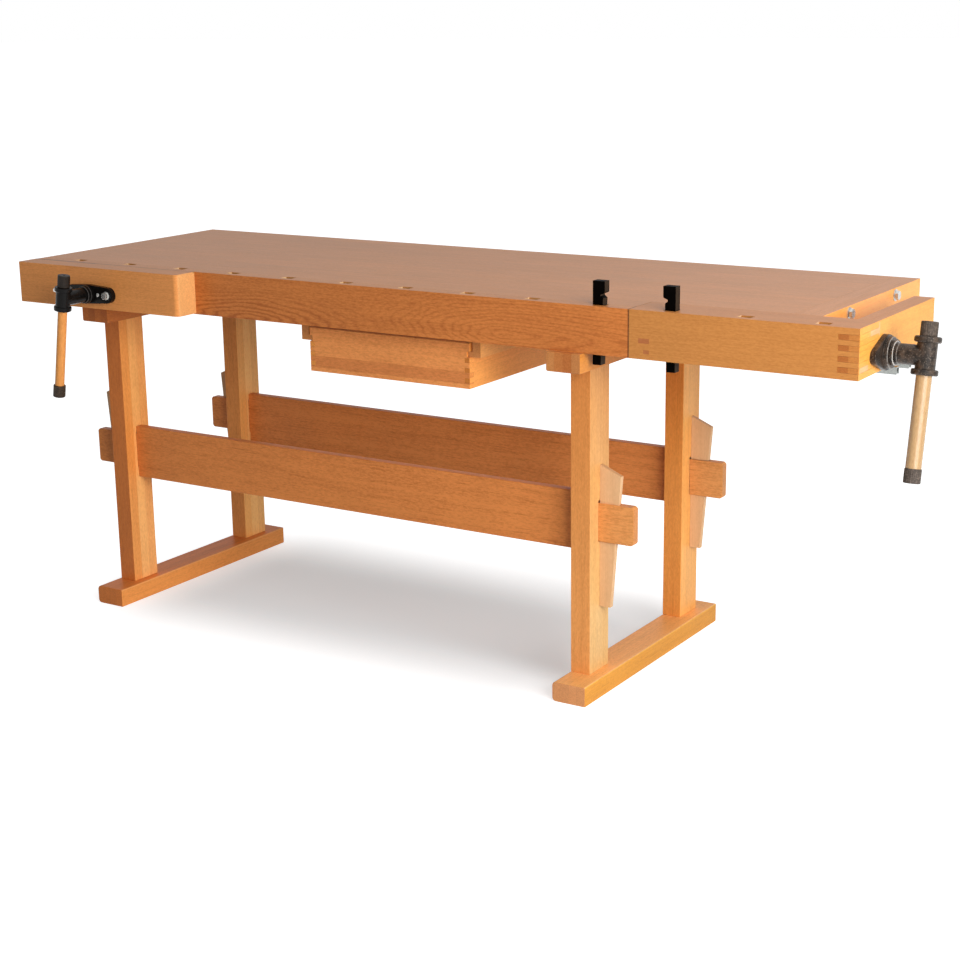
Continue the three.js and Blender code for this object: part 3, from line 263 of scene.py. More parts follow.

    # painted light and shade: sides given tones of their own, and fades that change along an axis
    for side, level in (faces or {}).items():
        tone = f.mix(on(side), tone, f.toned(tone, level))
    for side, axis, start, end, level in fades:
        share = f.math("MULTIPLY", on(side), f.step(f.parts(here)[AXES.index(axis)], start, end))
        tone = f.mix(share, tone, f.toned(tone, level))
    tone = f.toned(tone, f.grey(shade))
    f.bump(f.math("MULTIPLY_ADD", streak, 0.5, fibre), 0.12, 0.0005)
    return f.surface(
        Base_Color=tone, Roughness=f.math("MULTIPLY_ADD", fibre, 0.16, gloss - 0.08), Specular_IOR_Level=shine
    )


RIM_INNER = 0.0014
RIM_OUTER = 0.0004
RIM_SOFT = 0.0005


# How far each rim edge of a casting takes a painted highlight, broken up by its lumps; an edge is (axis,
# centre, radius, place along the axis, strength of the highlight).
def rim_glint(f, here, lumps, edges):
    share = 0.0
    for axis, centre, radius, place, glint in edges:
        along = AXES.index(axis)
        keep = [1.0, 1.0, 1.0]
        keep[along] = 0.0
        reach = f.vector("LENGTH", f.vector("MULTIPLY", f.vector("SUBTRACT", here, centre), keep))
        rim = f.within(reach, radius - RIM_INNER, radius + RIM_OUTER, RIM_SOFT)
        level = f.within(f.parts(here)[along], place - RIM_INNER, place + RIM_INNER, RIM_SOFT)
        rim = f.math("MULTIPLY", rim, level)
        share = f.math("MAXIMUM", share, f.math("MULTIPLY", rim, glint))
    return f.math("MULTIPLY", share, f.step(lumps, 0.3, 0.5))


# Colours of the painted highlights on the rims of the black and the bare castings
GLINT_BLACK = (0.075, 0.07, 0.066)
GLINT_IRON = (0.66, 0.62, 0.57)
CAST_DARK = (0.012, 0.0083, 0.0062)
CAST_BROWN = (0.067, 0.043, 0.0288)
CAST_SPECK = (0.15, 0.115, 0.088)


# Black-coated metal; the optional colour for its side toward +X is painted light, where the lamp on that side
# falls on it.
def black_metal(name, colour, rough, shine, lit_side=None, edges=()):
    f = Finish(name)
    here = f.place()
    mottle = f.noise(here, 60.0, 4.0, 0.6)
    grain = f.noise(here, 800.0, 2.0, 0.5)
    tone = f.mix(f.step(mottle, 0.45, 0.8), colour, [c * 1.8 for c in colour])
    # painted light: the side toward +X takes the lighter colour, broken up by the mottle
    if lit_side:
        side = f.step(f.parts(f.facing())[0], *FACING)
        tone = f.mix(f.math("MULTIPLY", side, f.math("MULTIPLY_ADD", mottle, 0.6, 0.6)), tone, lit_side)
    # painted highlights on the rims around the screw
    if edges:
        tone = f.mix(rim_glint(f, here, mottle, edges), tone, GLINT_BLACK)
    f.bump(f.math("MULTIPLY_ADD", mottle, 0.4, grain), 0.12, 0.0006)
    return f.surface(
        Base_Color=tone, Roughness=f.math("MULTIPLY_ADD", mottle, 0.2, rough - 0.1), Specular_IOR_Level=shine
    )


# Bare casting, rough and browned, with painted highlights on its rim edges, where it is also smoother
def casting(name, edges=()):
    f = Finish(name)
    here = f.place()
    lumps = f.noise(here, 330.0, 4.0, 0.7)
    patches = f.noise(here, 60.0, 3.0, 0.6)
    tone = f.mix(f.step(patches, 0.35, 0.68), CAST_DARK, CAST_BROWN)
    tone = f.mix(f.step(lumps, 0.53, 0.68), tone, CAST_SPECK)
    rough = f.math("MULTIPLY_ADD", lumps, 0.36, 0.15)
    if edges:
        # painted highlights on the rims around the screw
        rim = rim_glint(f, here, lumps, edges)
        tone = f.mix(rim, tone, GLINT_IRON)
        rough = f.math("MULTIPLY_ADD", rim, -0.2, rough)
    f.bump(lumps, 0.45, 0.0016)
    return f.surface(Base_Color=tone, Roughness=rough, Metallic=0.4, Specular_IOR_Level=0.46)


# Zinc plating with a fine spangle and a haze
def zinc(name, colour):
    f = Finish(name)
    here = f.place()
    spangle = f.parts(f.node("TexVoronoi", Vector=here, Scale=320.0).outputs["Color"])[0]
    haze = f.noise(here, 40.0, 4.0, 0.6)
    share = f.math("MULTIPLY_ADD", spangle, 0.25, f.math("MULTIPLY", haze, 0.4))
    f.bump(f.noise(here, 700.0, 2.0, 0.5), 0.06, 0.0004)
    return f.surface(
        Base_Color=f.mix(share, colour, [c * 0.6 for c in colour]),
        Roughness=f.math("MULTIPLY_ADD", haze, 0.25, 0.14),
        Metallic=0.85,
    )


# Dusty black plastic
def cap_plastic(name, colour):
    f = Finish(name)
    here = f.place()
    dust = f.noise(here, 260.0, 4.0, 0.65)
    tone = f.mix(f.step(dust, 0.4, 0.75), colour, [2.8 * c for c in colour])
    f.bump(dust, 0.2, 0.0006)
    return f.surface(
        Base_Color=tone, Roughness=f.math("MULTIPLY_ADD", dust, 0.2, 0.34), Specular_IOR_Level=0.22
    )


# A node group that shades all faces smooth and leaves the steeper edges sharp
smoothing = bpy.data.node_groups.new("smooth_by_angle", "GeometryNodeTree")
smoothing.interface.new_socket("Geometry", in_out="INPUT", socket_type="NodeSocketGeometry")
smoothing.interface.new_socket("Geometry", in_out="OUTPUT", socket_type="NodeSocketGeometry")
SMOOTH_UNDER = math.radians(32)
enter = smoothing.nodes.new("NodeGroupInput")
leave = smoothing.nodes.new("NodeGroupOutput")
all_smooth = smoothing.nodes.new("GeometryNodeSetShadeSmooth")
all_smooth.domain = "FACE"
some_sharp = smoothing.nodes.new("GeometryNodeSetShadeSmooth")
some_sharp.domain = "EDGE"
some_sharp.inputs["Shade Smooth"].default_value = False
angle = smoothing.nodes.new("GeometryNodeInputMeshEdgeAngle")
compare = smoothing.nodes.new("FunctionNodeCompare")
compare.data_type = "FLOAT"
compare.operation = "GREATER_THAN"
compare.inputs[1].default_value = SMOOTH_UNDER
smoothing.links.new(enter.outputs[0], all_smooth.inputs["Geometry"])
smoothing.links.new(all_smooth.outputs[0], some_sharp.inputs["Geometry"])
smoothing.links.new(angle.outputs["Unsigned Angle"], compare.inputs[0])
smoothing.links.new(compare.outputs[0], some_sharp.inputs["Selection"])
smoothing.links.new(some_sharp.outputs[0], leave.inputs[0])

WELD_UNDER = 0.00002
FLAT_UNDER = math.radians(0.3)
ROUND_OVER = math.radians(38)


# Welds the frame's split corners, merges flat faces, rounds the edges by a width and shades the rest smooth.
def soften(obj, width, segments):
    weld = obj.modifiers.new("weld", "WELD")
    weld.merge_threshold = WELD_UNDER
    flat = obj.modifiers.new("flat", "DECIMATE")
    flat.decimate_type = "DISSOLVE"
    flat.angle_limit = FLAT_UNDER
    bevel = obj.modifiers.new("bevel", "BEVEL")
    bevel.width = width
    bevel.segments = segments
    bevel.limit_method = "ANGLE"
    bevel.angle_limit = ROUND_OVER
    bevel.use_clamp_overlap = True
    bevel.miter_outer = "MITER_ARC"
    smooth = obj.modifiers.new("smooth", "NODES")
    smooth.node_group = smoothing
    normals = obj.modifiers.new("normals", "WEIGHTED_NORMAL")
    normals.keep_sharp = True


# Widths of the roundings
BEAM_EDGE = 0.002
BOARD_EDGE = 0.0012
STICK_EDGE = 0.0008
DRAWER_EDGE = 0.0005
JOINT_EDGE = 0.0004
HAIR_EDGE = 0.00015
STEEL_EDGE = 0.0006
NUT_EDGE = 0.001
BLACK_EDGE = 0.0012
CAST_EDGE = 0.0016
CAST_SEGMENTS = 3


def dress(node, material, width, segments=2):
    obj = nodes[node]
    obj.data.materials.clear()
    obj.data.materials.append(material)
    soften(obj, width, segments)


def low_of(node, axis):
    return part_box(node)[0][AXES.index(axis)]


def high_of(node, axis):
    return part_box(node)[1][AXES.index(axis)]


# Colours of the wood, set piece by piece and partly painted light and shade, and the tones of its sides,
# strips and marks
# painted shade and light: the front left leg darker and more saturated, the back left leg lighter against its
# shade
LEG = {
    "leg_front_left": (0.74, 0.22, 0.044),
    "leg_back_left": (0.98, 0.385, 0.097),
    "leg_front_right": (0.88, 0.355, 0.098),
    "leg_back_right": (0.88, 0.345, 0.088),
}
# painted light: the legs' sides toward +X, toned for the lamp on the right
LEG_SIDE = {
    "leg_front_left": (1.12, 1.45, 1.7),
    "leg_back_left": (1.05, 1.3, 1.5),
    "leg_front_right": (0.76, 0.88, 0.94),
    "leg_back_right": (1.02, 1.26, 1.38),
}
PLAIN = (1.0, 1.0, 1.0)
# painted light and shade: the legs' front faces toward -Y, toned for how the light falls on them
LEG_FACE = {
    "leg_front_left": PLAIN,
    "leg_back_left": PLAIN,
    "leg_front_right": (0.9, 0.82, 0.72),
    "leg_back_right": (0.95, 0.74, 0.44),
}
# painted light: leg faces growing paler toward the floor, as lit from below by it
LEG_FADES = {
    "leg_front_left": (("+X", "Z", 0.42, 0.12, (1.09, 1.16, 1.32)),),
    "leg_back_left": (),
    "leg_front_right": (
        ("+X", "Z", 0.72, 0.12, (1.13, 1.47, 1.9)),
        ("-Y", "Z", 0.75, 0.1, (1.23, 1.4, 1.63)),
    ),
    "leg_back_right": (("-Y", "Z", 0.78, 0.3, (1.1, 1.4, 2.0)),),
}
LEG_STRIPS = {
    "leg_front_left": ((1.19, 1.5, 1.95), (1.06, 1.22, 1.55)),
    "leg_back_left": ((1.06, 1.22, 1.45), (0.97, 1.06, 1.25)),
    "leg_front_right": ((1.03, 1.05, 1.1), (0.98, 0.97, 0.96)),
    "leg_back_right": ((1.03, 1.05, 1.1), (0.98, 0.97, 0.96)),
}
# the left foot darker and more saturated, as painted shade
FOOT = {"left": (0.78, 0.25, 0.054), "right": (0.88, 0.38, 0.098)}
# painted light: the feet's top and side toward +X, toned for the lamp
FOOT_TOP = {"left": PLAIN, "right": (1.13, 1.29, 1.62)}
FOOT_SIDE = {"left": (1.26, 1.5, 1.65), "right": (0.96, 0.95, 0.37)}
# a painted highlight along the feet's top and outer arrises
ARRIS = (1.1, 1.35, 1.9)
FOOT_ENDS = {"left": (0.86, 0.82, 0.8), "right": (0.82, 0.84, 1.3)}
# the left bearer darker and more saturated, as painted shade
BEARER = {"left": (0.57, 0.182, 0.038), "right": (0.62, 0.235, 0.068)}
BEARER_STRIPS = {
    "left": ((1.14, 1.16, 1.2), (0.92, 0.9, 0.86), (1.1, 1.12, 1.16), (0.9, 0.86, 0.82)),
    "right": ((1.15, 1.3, 1.45), (1.0, 0.95, 0.92), (0.86, 0.74, 0.66), (1.0, 1.12, 1.3)),
}
# painted light: the bearers' side toward +X, toned for the lamp
BEARER_SIDE = {"left": PLAIN, "right": (1.0, 0.95, 0.52)}
BOARD = {"front": (0.72, 0.245, 0.061), "back": (0.74, 0.262, 0.069)}
TENON = (1.0, 1.3, 1.6)
APRON = (0.60, 0.196, 0.046)
TOP = (0.77, 0.3, 0.082)
JAW = (0.84, 0.335, 0.096)
# painted light: the jaw's end grain, paler where it faces the lamp
JAW_ENDS = (1.0, 1.24, 1.55)
TAIL = (0.54, 0.22, 0.056)
TAIL_TOP = (1.37, 1.3, 1.43)
BEAM_ENDS = (0.93, 0.86, 0.8)
# painted light: the tail block's ends and the beam's side toward +X, paler toward the lamp
TAIL_SIDE = (1.64, 1.77, 1.28)
# painted light: the end caps' outer sides, paler toward the lamp
CAP_SIDE = (1.45, 1.56, 1.3)
# painted light on the dog holes' walls facing the lamp, and painted shade on their back walls
HOLE_SIDE = (1.9, 4.0, 9.0)
TAIL_HOLE_SIDE = (0.98, 1.5, 4.4)
HOLE_BACK = (0.75, 0.88, 1.0)
# painted shade in the gap between the dog strip and the tail block
SPLIT = (0.22, 0.1, 0.05)
TAIL_SPLIT = (0.4, 0.36, 0.3)
# painted shade in the gap where the jaw meets the top
JAW_LINE = (0.5, 0.42, 0.36)
PALE_PATCH = (0.9, 1.12, 3.0)
END_PATCH = (0.72, 0.54, 0.8)
FINGER_END = (0.74, 0.6, 0.55)
DRAWER = (0.84, 0.32, 0.093)
DRAWER_STRIPE = (0.78, 0.68, 0.66)
# painted shade along the drawer front's top, under the apron
DRAWER_LINE = (0.4, 0.32, 0.26)
# lighter than the drawer front, painted light on the sides, also used for the back and bottom
DRAWER_SIDE = (0.95, 0.40, 0.094)
DRAWER_FINGER = {"left": (0.86, 0.8, 0.75), "right": (0.62, 0.5, 0.42)}
# lighter, painted light on the runners' outer faces under the top
RUNNER = (0.97, 0.46, 0.13)
RUNNER_ENDS = (0.64, 0.54, 0.58)
WEDGE = (0.75, 0.467, 0.246)
FRONT_HANDLE = (0.84, 0.355, 0.096)
TAIL_HANDLE = (0.44, 0.262, 0.106)


# Glued strips of equal width across a piece, with a spread of tone.
def strips_across(node, axis, count, spread):
    start = low_of(node, axis)
    return (axis, start, (high_of(node, axis) - start) / count, spread)


# The tones of strips side by side across a piece, the first strip at its low end.
def strip_tones(node, axis, count, tones, first=0):
    start = low_of(node, axis)
    width = (high_of(node, axis) - start) / count
    places = [start + (first + i) * width for i in range(len(tones))]
    return tuple((tone, ((axis, place, place + width),)) for tone, place in zip(tones, places))


# Base
BEAM_STRIPS = 4
LEG_STRIP_COUNT = 3
ARRIS_WIDTH = 0.003
TENON_OVER = 0.01
seed = 1
for side in ("left", "right"):
    foot, bearer = "foot_" + side, "bearer_" + side
    strips = strips_across(foot, "X", BEAM_STRIPS, 0.08)
    # painted light on the foot's side toward +X and its top
    foot_faces = {"+X": FOOT_SIDE[side], "+Z": FOOT_TOP[side]}
    # a painted highlight along the foot's top and outer edges
    foot_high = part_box(foot)[1]
    arris = tuple(
        (axis, high - ARRIS_WIDTH, high + OVER) for axis, high in (("X", foot_high.x), ("Z", foot_high.z))
    )
    foot_wood = beech(
        foot,
        FOOT[side],
        "Y",
        seed,
        strips=strips,
        marks=((ARRIS, arris),),
        ends=FOOT_ENDS[side],
        faces=foot_faces,
    )
    dress(foot, foot_wood, BEAM_EDGE)
    bearer_marks = strip_tones(bearer, "X", BEAM_STRIPS, BEARER_STRIPS[side])
    bearer_faces = {"+X": BEARER_SIDE[side]}
    bearer_wood = beech(
        bearer, BEARER[side], "Y", seed + 1, strips=strips, marks=bearer_marks, faces=bearer_faces
    )
    dress(bearer, bearer_wood, BEAM_EDGE)
    seed += 2
    for end in ("front", "back"):
        leg = "leg_" + end + "_" + side
        strips = strips_across(leg, "Y", LEG_STRIP_COUNT, 0.1)
        leg_marks = strip_tones(leg, "Y", LEG_STRIP_COUNT, LEG_STRIPS[leg], 1)
        # painted light and shade on the leg's side toward +X and its front
        leg_faces = {"+X": LEG_SIDE[leg], "-Y": LEG_FACE[leg]}
        wood = beech(
            leg, LEG[leg], "Z", seed, strips=strips, marks=leg_marks, faces=leg_faces, fades=LEG_FADES[leg]
        )
        dress(leg, wood, BEAM_EDGE)
        wedge = "wedge_" + end + "_" + side
        wedge_wood = beech(wedge, WEDGE, "Z", seed + 1, streaks=0.25, bands=0.25, lines=0.1, specks=0.5)
        dress(wedge, wedge_wood, BOARD_EDGE)
        seed += 2
for end in ("front", "back"):
    name = "stretcher_" + end
    tenon_from = high_of("leg_front_right", "X") - TENON_OVER
    tenon = (TENON, (("X", tenon_from, high_of(name, "X") + TENON_OVER),))
    board = beech(name, BOARD[end], "X", seed, streaks=0.8, bands=0.6, lines=0.35, marks=(tenon,), specks=1.7)
    dress(name, board, BEAM_EDGE)
    seed += 1

# Top
SLAB_STRIP = 0.072
SPLIT_WIDTH = 0.0014
SHEEN = {"gloss": 0.36, "shine": 0.26, "lines": 0.15, "specks": 1.0}
slab_strips = ("Y", low_of("top_slab", "Y"), SLAB_STRIP, 0.05)
dress("top_slab", beech("top_slab", TOP, "X", 31, streaks=0.3, strips=slab_strips, **SHEEN), JOINT_EDGE)
# painted shade on the front rail's face toward -Y, the back walls of the dog holes
rail = beech("front_rail", TOP, "X", 32, streaks=0.3, faces={"-Y": HOLE_BACK}, **SHEEN)
dress("front_rail", rail, JOINT_EDGE)
dress("back_rail", beech("back_rail", TOP, "X", 33, **SHEEN), JOINT_EDGE)
strip_low, strip_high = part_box("dog_strip")
# painted light on the strip's faces toward +X, the dog holes' left walls facing the lamp
strip_faces = {"+X": HOLE_SIDE, "+Z": [t / a for t, a in zip(TOP, APRON)]}
# painted shade in the gap at the strip's end
split_mark = (SPLIT, (("X", strip_high.x - SPLIT_WIDTH, strip_high.x + OVER),))
apron_ovals = (
    ((0.232, strip_low.y, 0.784), 0.007, 0.16, 0.46, (0.28, 0.1)),
    ((-0.45, strip_low.y, 0.762), 0.0085, 0.1, 1.0, (0.2, 0.2)),
)
apron = beech(
    "dog_strip",
    APRON,
    "X",
    34,
    streaks=1.1,
    bands=0.55,
    ovals=apron_ovals,
    marks=(split_mark,),
    gloss=0.36,
    specks=1.6,
    faces=strip_faces,
)
dress("dog_strip", apron, JOINT_EDGE)
for side, sign in (("left", "-X"), ("right", "+X")):
    name = "end_cap_" + side
    dress(name, beech(name, TOP, "Y", 35 + len(side), faces={sign: CAP_SIDE}, **SHEEN), JOINT_EDGE)

# Front jaw, with a line of painted shade where it meets the top, which is wider toward the left
LINE_WIDTH = 0.005
LINE_WIDER = 0.009
LINE_WIDER_FOR = 0.2
LINE_DEPTH = 0.003
jaw_low, jaw_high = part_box("front_jaw")
jaw_rim = ("Z", jaw_high.z - LINE_DEPTH, jaw_high.z + OVER)
jaw_back = ("Y", jaw_high.y - LINE_WIDTH, jaw_high.y + OVER)
jaw_wider = ("Y", jaw_high.y - LINE_WIDER, jaw_high.y + OVER)
jaw_left = ("X", jaw_low.x - OVER, jaw_low.x + LINE_WIDER_FOR)
jaw_marks = ((JAW_LINE, (jaw_back, jaw_rim)), (JAW_LINE, (jaw_wider, jaw_rim, jaw_left)))
jaw_faces = {"+Z": [t / a for t, a in zip(TOP, JAW)]}
jaw = beech(
    "front_jaw", JAW, "X", 42, streaks=0.3, marks=jaw_marks, gloss=0.38, ends=JAW_ENDS, faces=jaw_faces
)
dress("front_jaw", jaw, BOARD_EDGE)

# Tail vise: the front block with pins near its left end, and the end beam whose fingers show on the block's
# front. Each pin is (start and end from the block's left, bottom, top), and each pale patch (start and end
# from the beam's front, bottom, top).
PINS = ((0.0215, 0.046, 0.793, 0.803), (0.033, 0.046, 0.772, 0.780))
PALE_PATCHES = ((0.055, 0.105, 0.832, 0.858), (0.006, 0.048, 0.764, 0.789))
HOLE_OUTSIDE = 0.0008
HOLE_INSIDE = 0.0002
block_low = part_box("tail_block")[0]
tail_marks = [
    (END_PATCH, (("X", block_low.x + start, block_low.x + end), ("Z", bottom, top)))
    for start, end, bottom, top in PINS
]
# painted shade in the gap at the block's left end
tail_marks.append((TAIL_SPLIT, (("X", block_low.x - OVER, block_low.x + OVER),)))
# painted light on the tail dog holes' left walls, which face the lamp
for opening in frame["record"]["physics"]["openings"]:
    if opening["name"].startswith("tail_dog_hole"):
        hole_low, hole_high = opening["box_m"]
        limits = (
            ("X", hole_low[0] - HOLE_OUTSIDE, hole_low[0] + HOLE_INSIDE),
            ("Y", hole_low[1] - MARK_SOFT, hole_high[1] + MARK_SOFT),
        )
        tail_marks.append((TAIL_HOLE_SIDE, limits))
block = beech(
    "tail_block",
    TAIL,
    "X",
    43,
    streaks=0.35,
    bands=0.35,
    lines=0.12,
    marks=tail_marks,
    gloss=0.38,
    ends=TAIL_SIDE,
    faces={"+Z": TAIL_TOP},
)
dress("tail_block", block, HAIR_EDGE)
beam_low, beam_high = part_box("tail_beam")
finger_mark = (
    FINGER_END,
    (("X", beam_low.x - OVER, (beam_low.x + beam_high.x) / 2), ("Y", beam_low.y - OVER, beam_low.y + OVER)),
)
outer = ("X", beam_high.x - OVER, beam_high.x + OVER)
beam_marks = [finger_mark] + [
    (PALE_PATCH, (outer, ("Y", beam_low.y + start, beam_low.y + end), ("Z", bottom, top)))
    for start, end, bottom, top in PALE_PATCHES
]
beam = beech(
    "tail_beam",
    TAIL,
    "Y",
    44,
    streaks=0.3,
    bands=0.2,
    lines=0.06,
    marks=beam_marks,
    gloss=0.38,
    ends=BEAM_ENDS,
    faces={"+X": TAIL_SIDE, "+Z": TAIL_TOP},
)
dress("tail_beam", beam, HAIR_EDGE)
dress("tail_guide_bracket", beech("tail_guide_bracket", TAIL, "Y", 45), BOARD_EDGE)

# Drawer, with a darker strip low on its front and a line of painted shade along the top, under the apron
STRIPE_FROM = 0.010
STRIPE_TO = 0.037
drawer_low, drawer_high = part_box("drawer_front")
drawer_marks = (
    (DRAWER_STRIPE, (("Z", drawer_low.z + STRIPE_FROM, drawer_low.z + STRIPE_TO),)),
    (DRAWER_LINE, (("Z", drawer_high.z - LINE_DEPTH, drawer_high.z + OVER),)),
)
drawer_ends = [side / front for side, front in zip(DRAWER_SIDE, DRAWER)]
drawer_face = beech(
    "drawer_front", DRAWER, "X", 51, lines=0.15, marks=drawer_marks, ends=drawer_ends, specks=1.6
)
dress("drawer_front", drawer_face, DRAWER_EDGE)
for name in ("drawer_back", "drawer_bottom"):
    dress(name, beech(name, DRAWER_SIDE, "X", 52 + len(name), lines=0.15), DRAWER_EDGE)
for side in ("left", "right"):
    name = "drawer_side_" + side
    board = beech(name, DRAWER_SIDE, "Y", 52 + len(name), lines=0.15, ends=DRAWER_FINGER[side])
    dress(name, board, DRAWER_EDGE)
    name = "drawer_runner_" + side
    dress(name, beech(name, RUNNER, "Y", 61 + len(side), lines=0.12, ends=RUNNER_ENDS), STICK_EDGE)

# Metal, with painted highlights on the rims around the screws, given by their radius and how far in they lie
# from the head's end
FRONT_FLANGE_RIM = 0.0225
FRONT_HEAD_RIM = 0.0200
FRONT_HEAD_RIM_IN = 0.007
TAIL_FLANGE_RIM = 0.031
TAIL_COLLAR_RIM = 0.024
TAIL_COLLAR_RIM_IN = 0.007
TAIL_NECK_RIM = 0.020
TAIL_NECK_RIM_IN = 0.012
BLACK_ENAMEL = (0.005, 0.0043, 0.0039)
BLACK_STEEL = (0.0011, 0.0008, 0.0006)
# painted light on the dogs' side toward +X, which faces the lamp
LIT_STEEL_SIDE = (0.04, 0.028, 0.019)
ZINC = (0.72, 0.71, 0.68)
DULL_ZINC = (0.42, 0.44, 0.42)
bolt_low, bolt_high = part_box("front_flange_bolt_right")
bolt_z = (bolt_low.z + bolt_high.z) / 2
flange_mid = (low_of("front_flange", "X") + high_of("front_flange", "X")) / 2
front_axis = (flange_mid, 0.0, bolt_z)
front_edges = (
    ("Y", front_axis, FRONT_FLANGE_RIM, low_of("front_flange", "Y"), 1.0),
    ("Y", front_axis, FRONT_HEAD_RIM, high_of("front_head", "Y") - FRONT_HEAD_RIM_IN, 1.0),
)
black = black_metal("black_enamel", BLACK_ENAMEL, 0.24, 0.12, edges=front_edges)
dog_black = black_metal("black_steel", BLACK_STEEL, 0.42, 0.012, LIT_STEEL_SIDE)
zinc_steel = zinc("zinc_steel", ZINC)
zinc_rail = zinc("zinc_rail", DULL_ZINC)
for name in ("front_flange", "front_head"):
    dress(name, black, BLACK_EDGE, CAST_SEGMENTS)
for name in ("dog_left", "dog_right"):
    dress(name, dog_black, STEEL_EDGE)
flange_low, flange_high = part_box("tail_flange")
tail_axis = (0.0, (flange_low.y + flange_high.y) / 2, (flange_low.z + flange_high.z) / 2)
tail_head_from = low_of("tail_head", "X")
tail_edges = (
    ("X", tail_axis, TAIL_FLANGE_RIM, flange_high.x, 0.3),
    ("X", tail_axis, TAIL_COLLAR_RIM, tail_head_from + TAIL_COLLAR_RIM_IN, 1.0),
    ("X", tail_axis, TAIL_NECK_RIM, tail_head_from + TAIL_NECK_RIM_IN, 0.35),
)
rough_iron = casting("rough_iron", tail_edges)
for name in ("tail_flange", "tail_head"):
    dress(name, rough_iron, CAST_EDGE, CAST_SEGMENTS)
for name in ("front_nut", "tail_nut"):
    dress(name, casting(name), NUT_EDGE)
for name in nodes:
    if "bolt" in name or "guide_rod" in name:
        dress(name, zinc_steel, STEEL_EDGE)
    elif "guide_rail" in name:
        dress(name, zinc_rail, STEEL_EDGE)

# Turning handles
stick = beech("front_handle", FRONT_HANDLE, "Z", 76, streaks=0.3, bands=0.25, lines=0.12)
dress("front_handle", stick, STICK_EDGE)
lacquer = beech("tail_handle", TAIL_HANDLE, "Z", 75, streaks=0.3, bands=0.2, lines=0.1, gloss=0.22, shine=1.0)
dress("tail_handle", lacquer, STICK_EDGE)


def add_piece(name, mesh, material, body, slot, *replaced):
    obj = bpy.data.objects.new(name, mesh)
    bpy.context.scene.collection.objects.link(obj)
    mesh.materials.append(material)
    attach(obj, body)
    if replaced:
        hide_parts(*replaced)
    return obj


# Rings of points joined in a skin, closed at both ends or, where looped, from the last ring to the first.
def ring_mesh(name, rings, looped=False):
    mesh = bpy.data.meshes.new(name)
    bm = bmesh.new()
    rows = [[bm.verts.new(p) for p in ring] for ring in rings]
    around = len(rows[0])
    pairs = list(zip(rows, rows[1:])) + ([(rows[-1], rows[0])] if looped else [])
    for low, high in pairs:
        for i in range(around):
            j = (i + 1) % around
            bm.faces.new((low[i], low[j], high[j], high[i]))
    if not looped:
        bm.faces.new(list(reversed(rows[0])))
        bm.faces.new(rows[-1])
    bmesh.ops.recalc_face_normals(bm, faces=bm.faces)
    for face in bm.faces:
        face.smooth = len(face.verts) == 4
    for edge in bm.edges:
        if len(edge.link_faces) == 2 and edge.calc_face_angle() > SMOOTH_UNDER:
            edge.smooth = False
    bm.to_mesh(mesh)
    bm.free()
    return mesh


PITCH = 0.006
THREAD_DEPTH = 0.0016
AROUND = 36
PER_PITCH = 8
PLAIN_END = 0.034
# Half the width of the crest and the width of a flank, in pitches
CREST = 0.2
FLANK = 0.08


# A square thread cut into the bar of a vise screw, which stays plain at one end.
def thread(node, axis, body, plain_at_high):
    low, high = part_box(node)
    along = AXES.index(axis)
    others = [k for k in range(3) if k != along]
    centre = (low + high) / 2
    radius = (high[others[0]] - low[others[0]]) / 2
    length = high[along] - low[along]
    steps = round(length / PITCH * PER_PITCH)
    rings = []
    for i in range(steps + 1):
        t = length * i / steps
        from_plain = length - t if plain_at_high else t
        ring = []
        for k in range(AROUND):
            turn = k / AROUND
            phase = (t / PITCH - turn) % 1.0
            flank = min(1.0, max(0.0, (abs(phase - 0.5) - CREST) / FLANK))
            cut = THREAD_DEPTH * flank if from_plain > PLAIN_END else 0.0
            r = radius - cut
            point = [0.0, 0.0, 0.0]
            point[along] = low[along] + t
            point[others[0]] = centre[others[0]] + r * math.cos(2 * math.pi * turn)
            point[others[1]] = centre[others[1]] + r * math.sin(2 * math.pi * turn)
            ring.append(point)
        rings.append(ring)
    mesh = ring_mesh(node + "_thread", rings)
    add_piece(node + "_thread", mesh, zinc_steel, body, "zinc_steel", node)


thread("front_screw", "Y", "front_vise_screw", False)
thread("tail_screw", "X", "tail_vise_screw", True)

# Handle caps
CAP_WALL = 0.004
CAP_END = 0.006
CAP_LENGTH = 0.0285
CAP_LIP = 0.0012
CAP_DIP = 0.0008
CAP_PORE = 0.002
RIB_DEPTH = 0.0006
RIB_RUNOUT = 0.0018
RIBS = 24
PER_RIB = 6
GROOVE = (0, 1)  # the points of each rib that lie in its groove


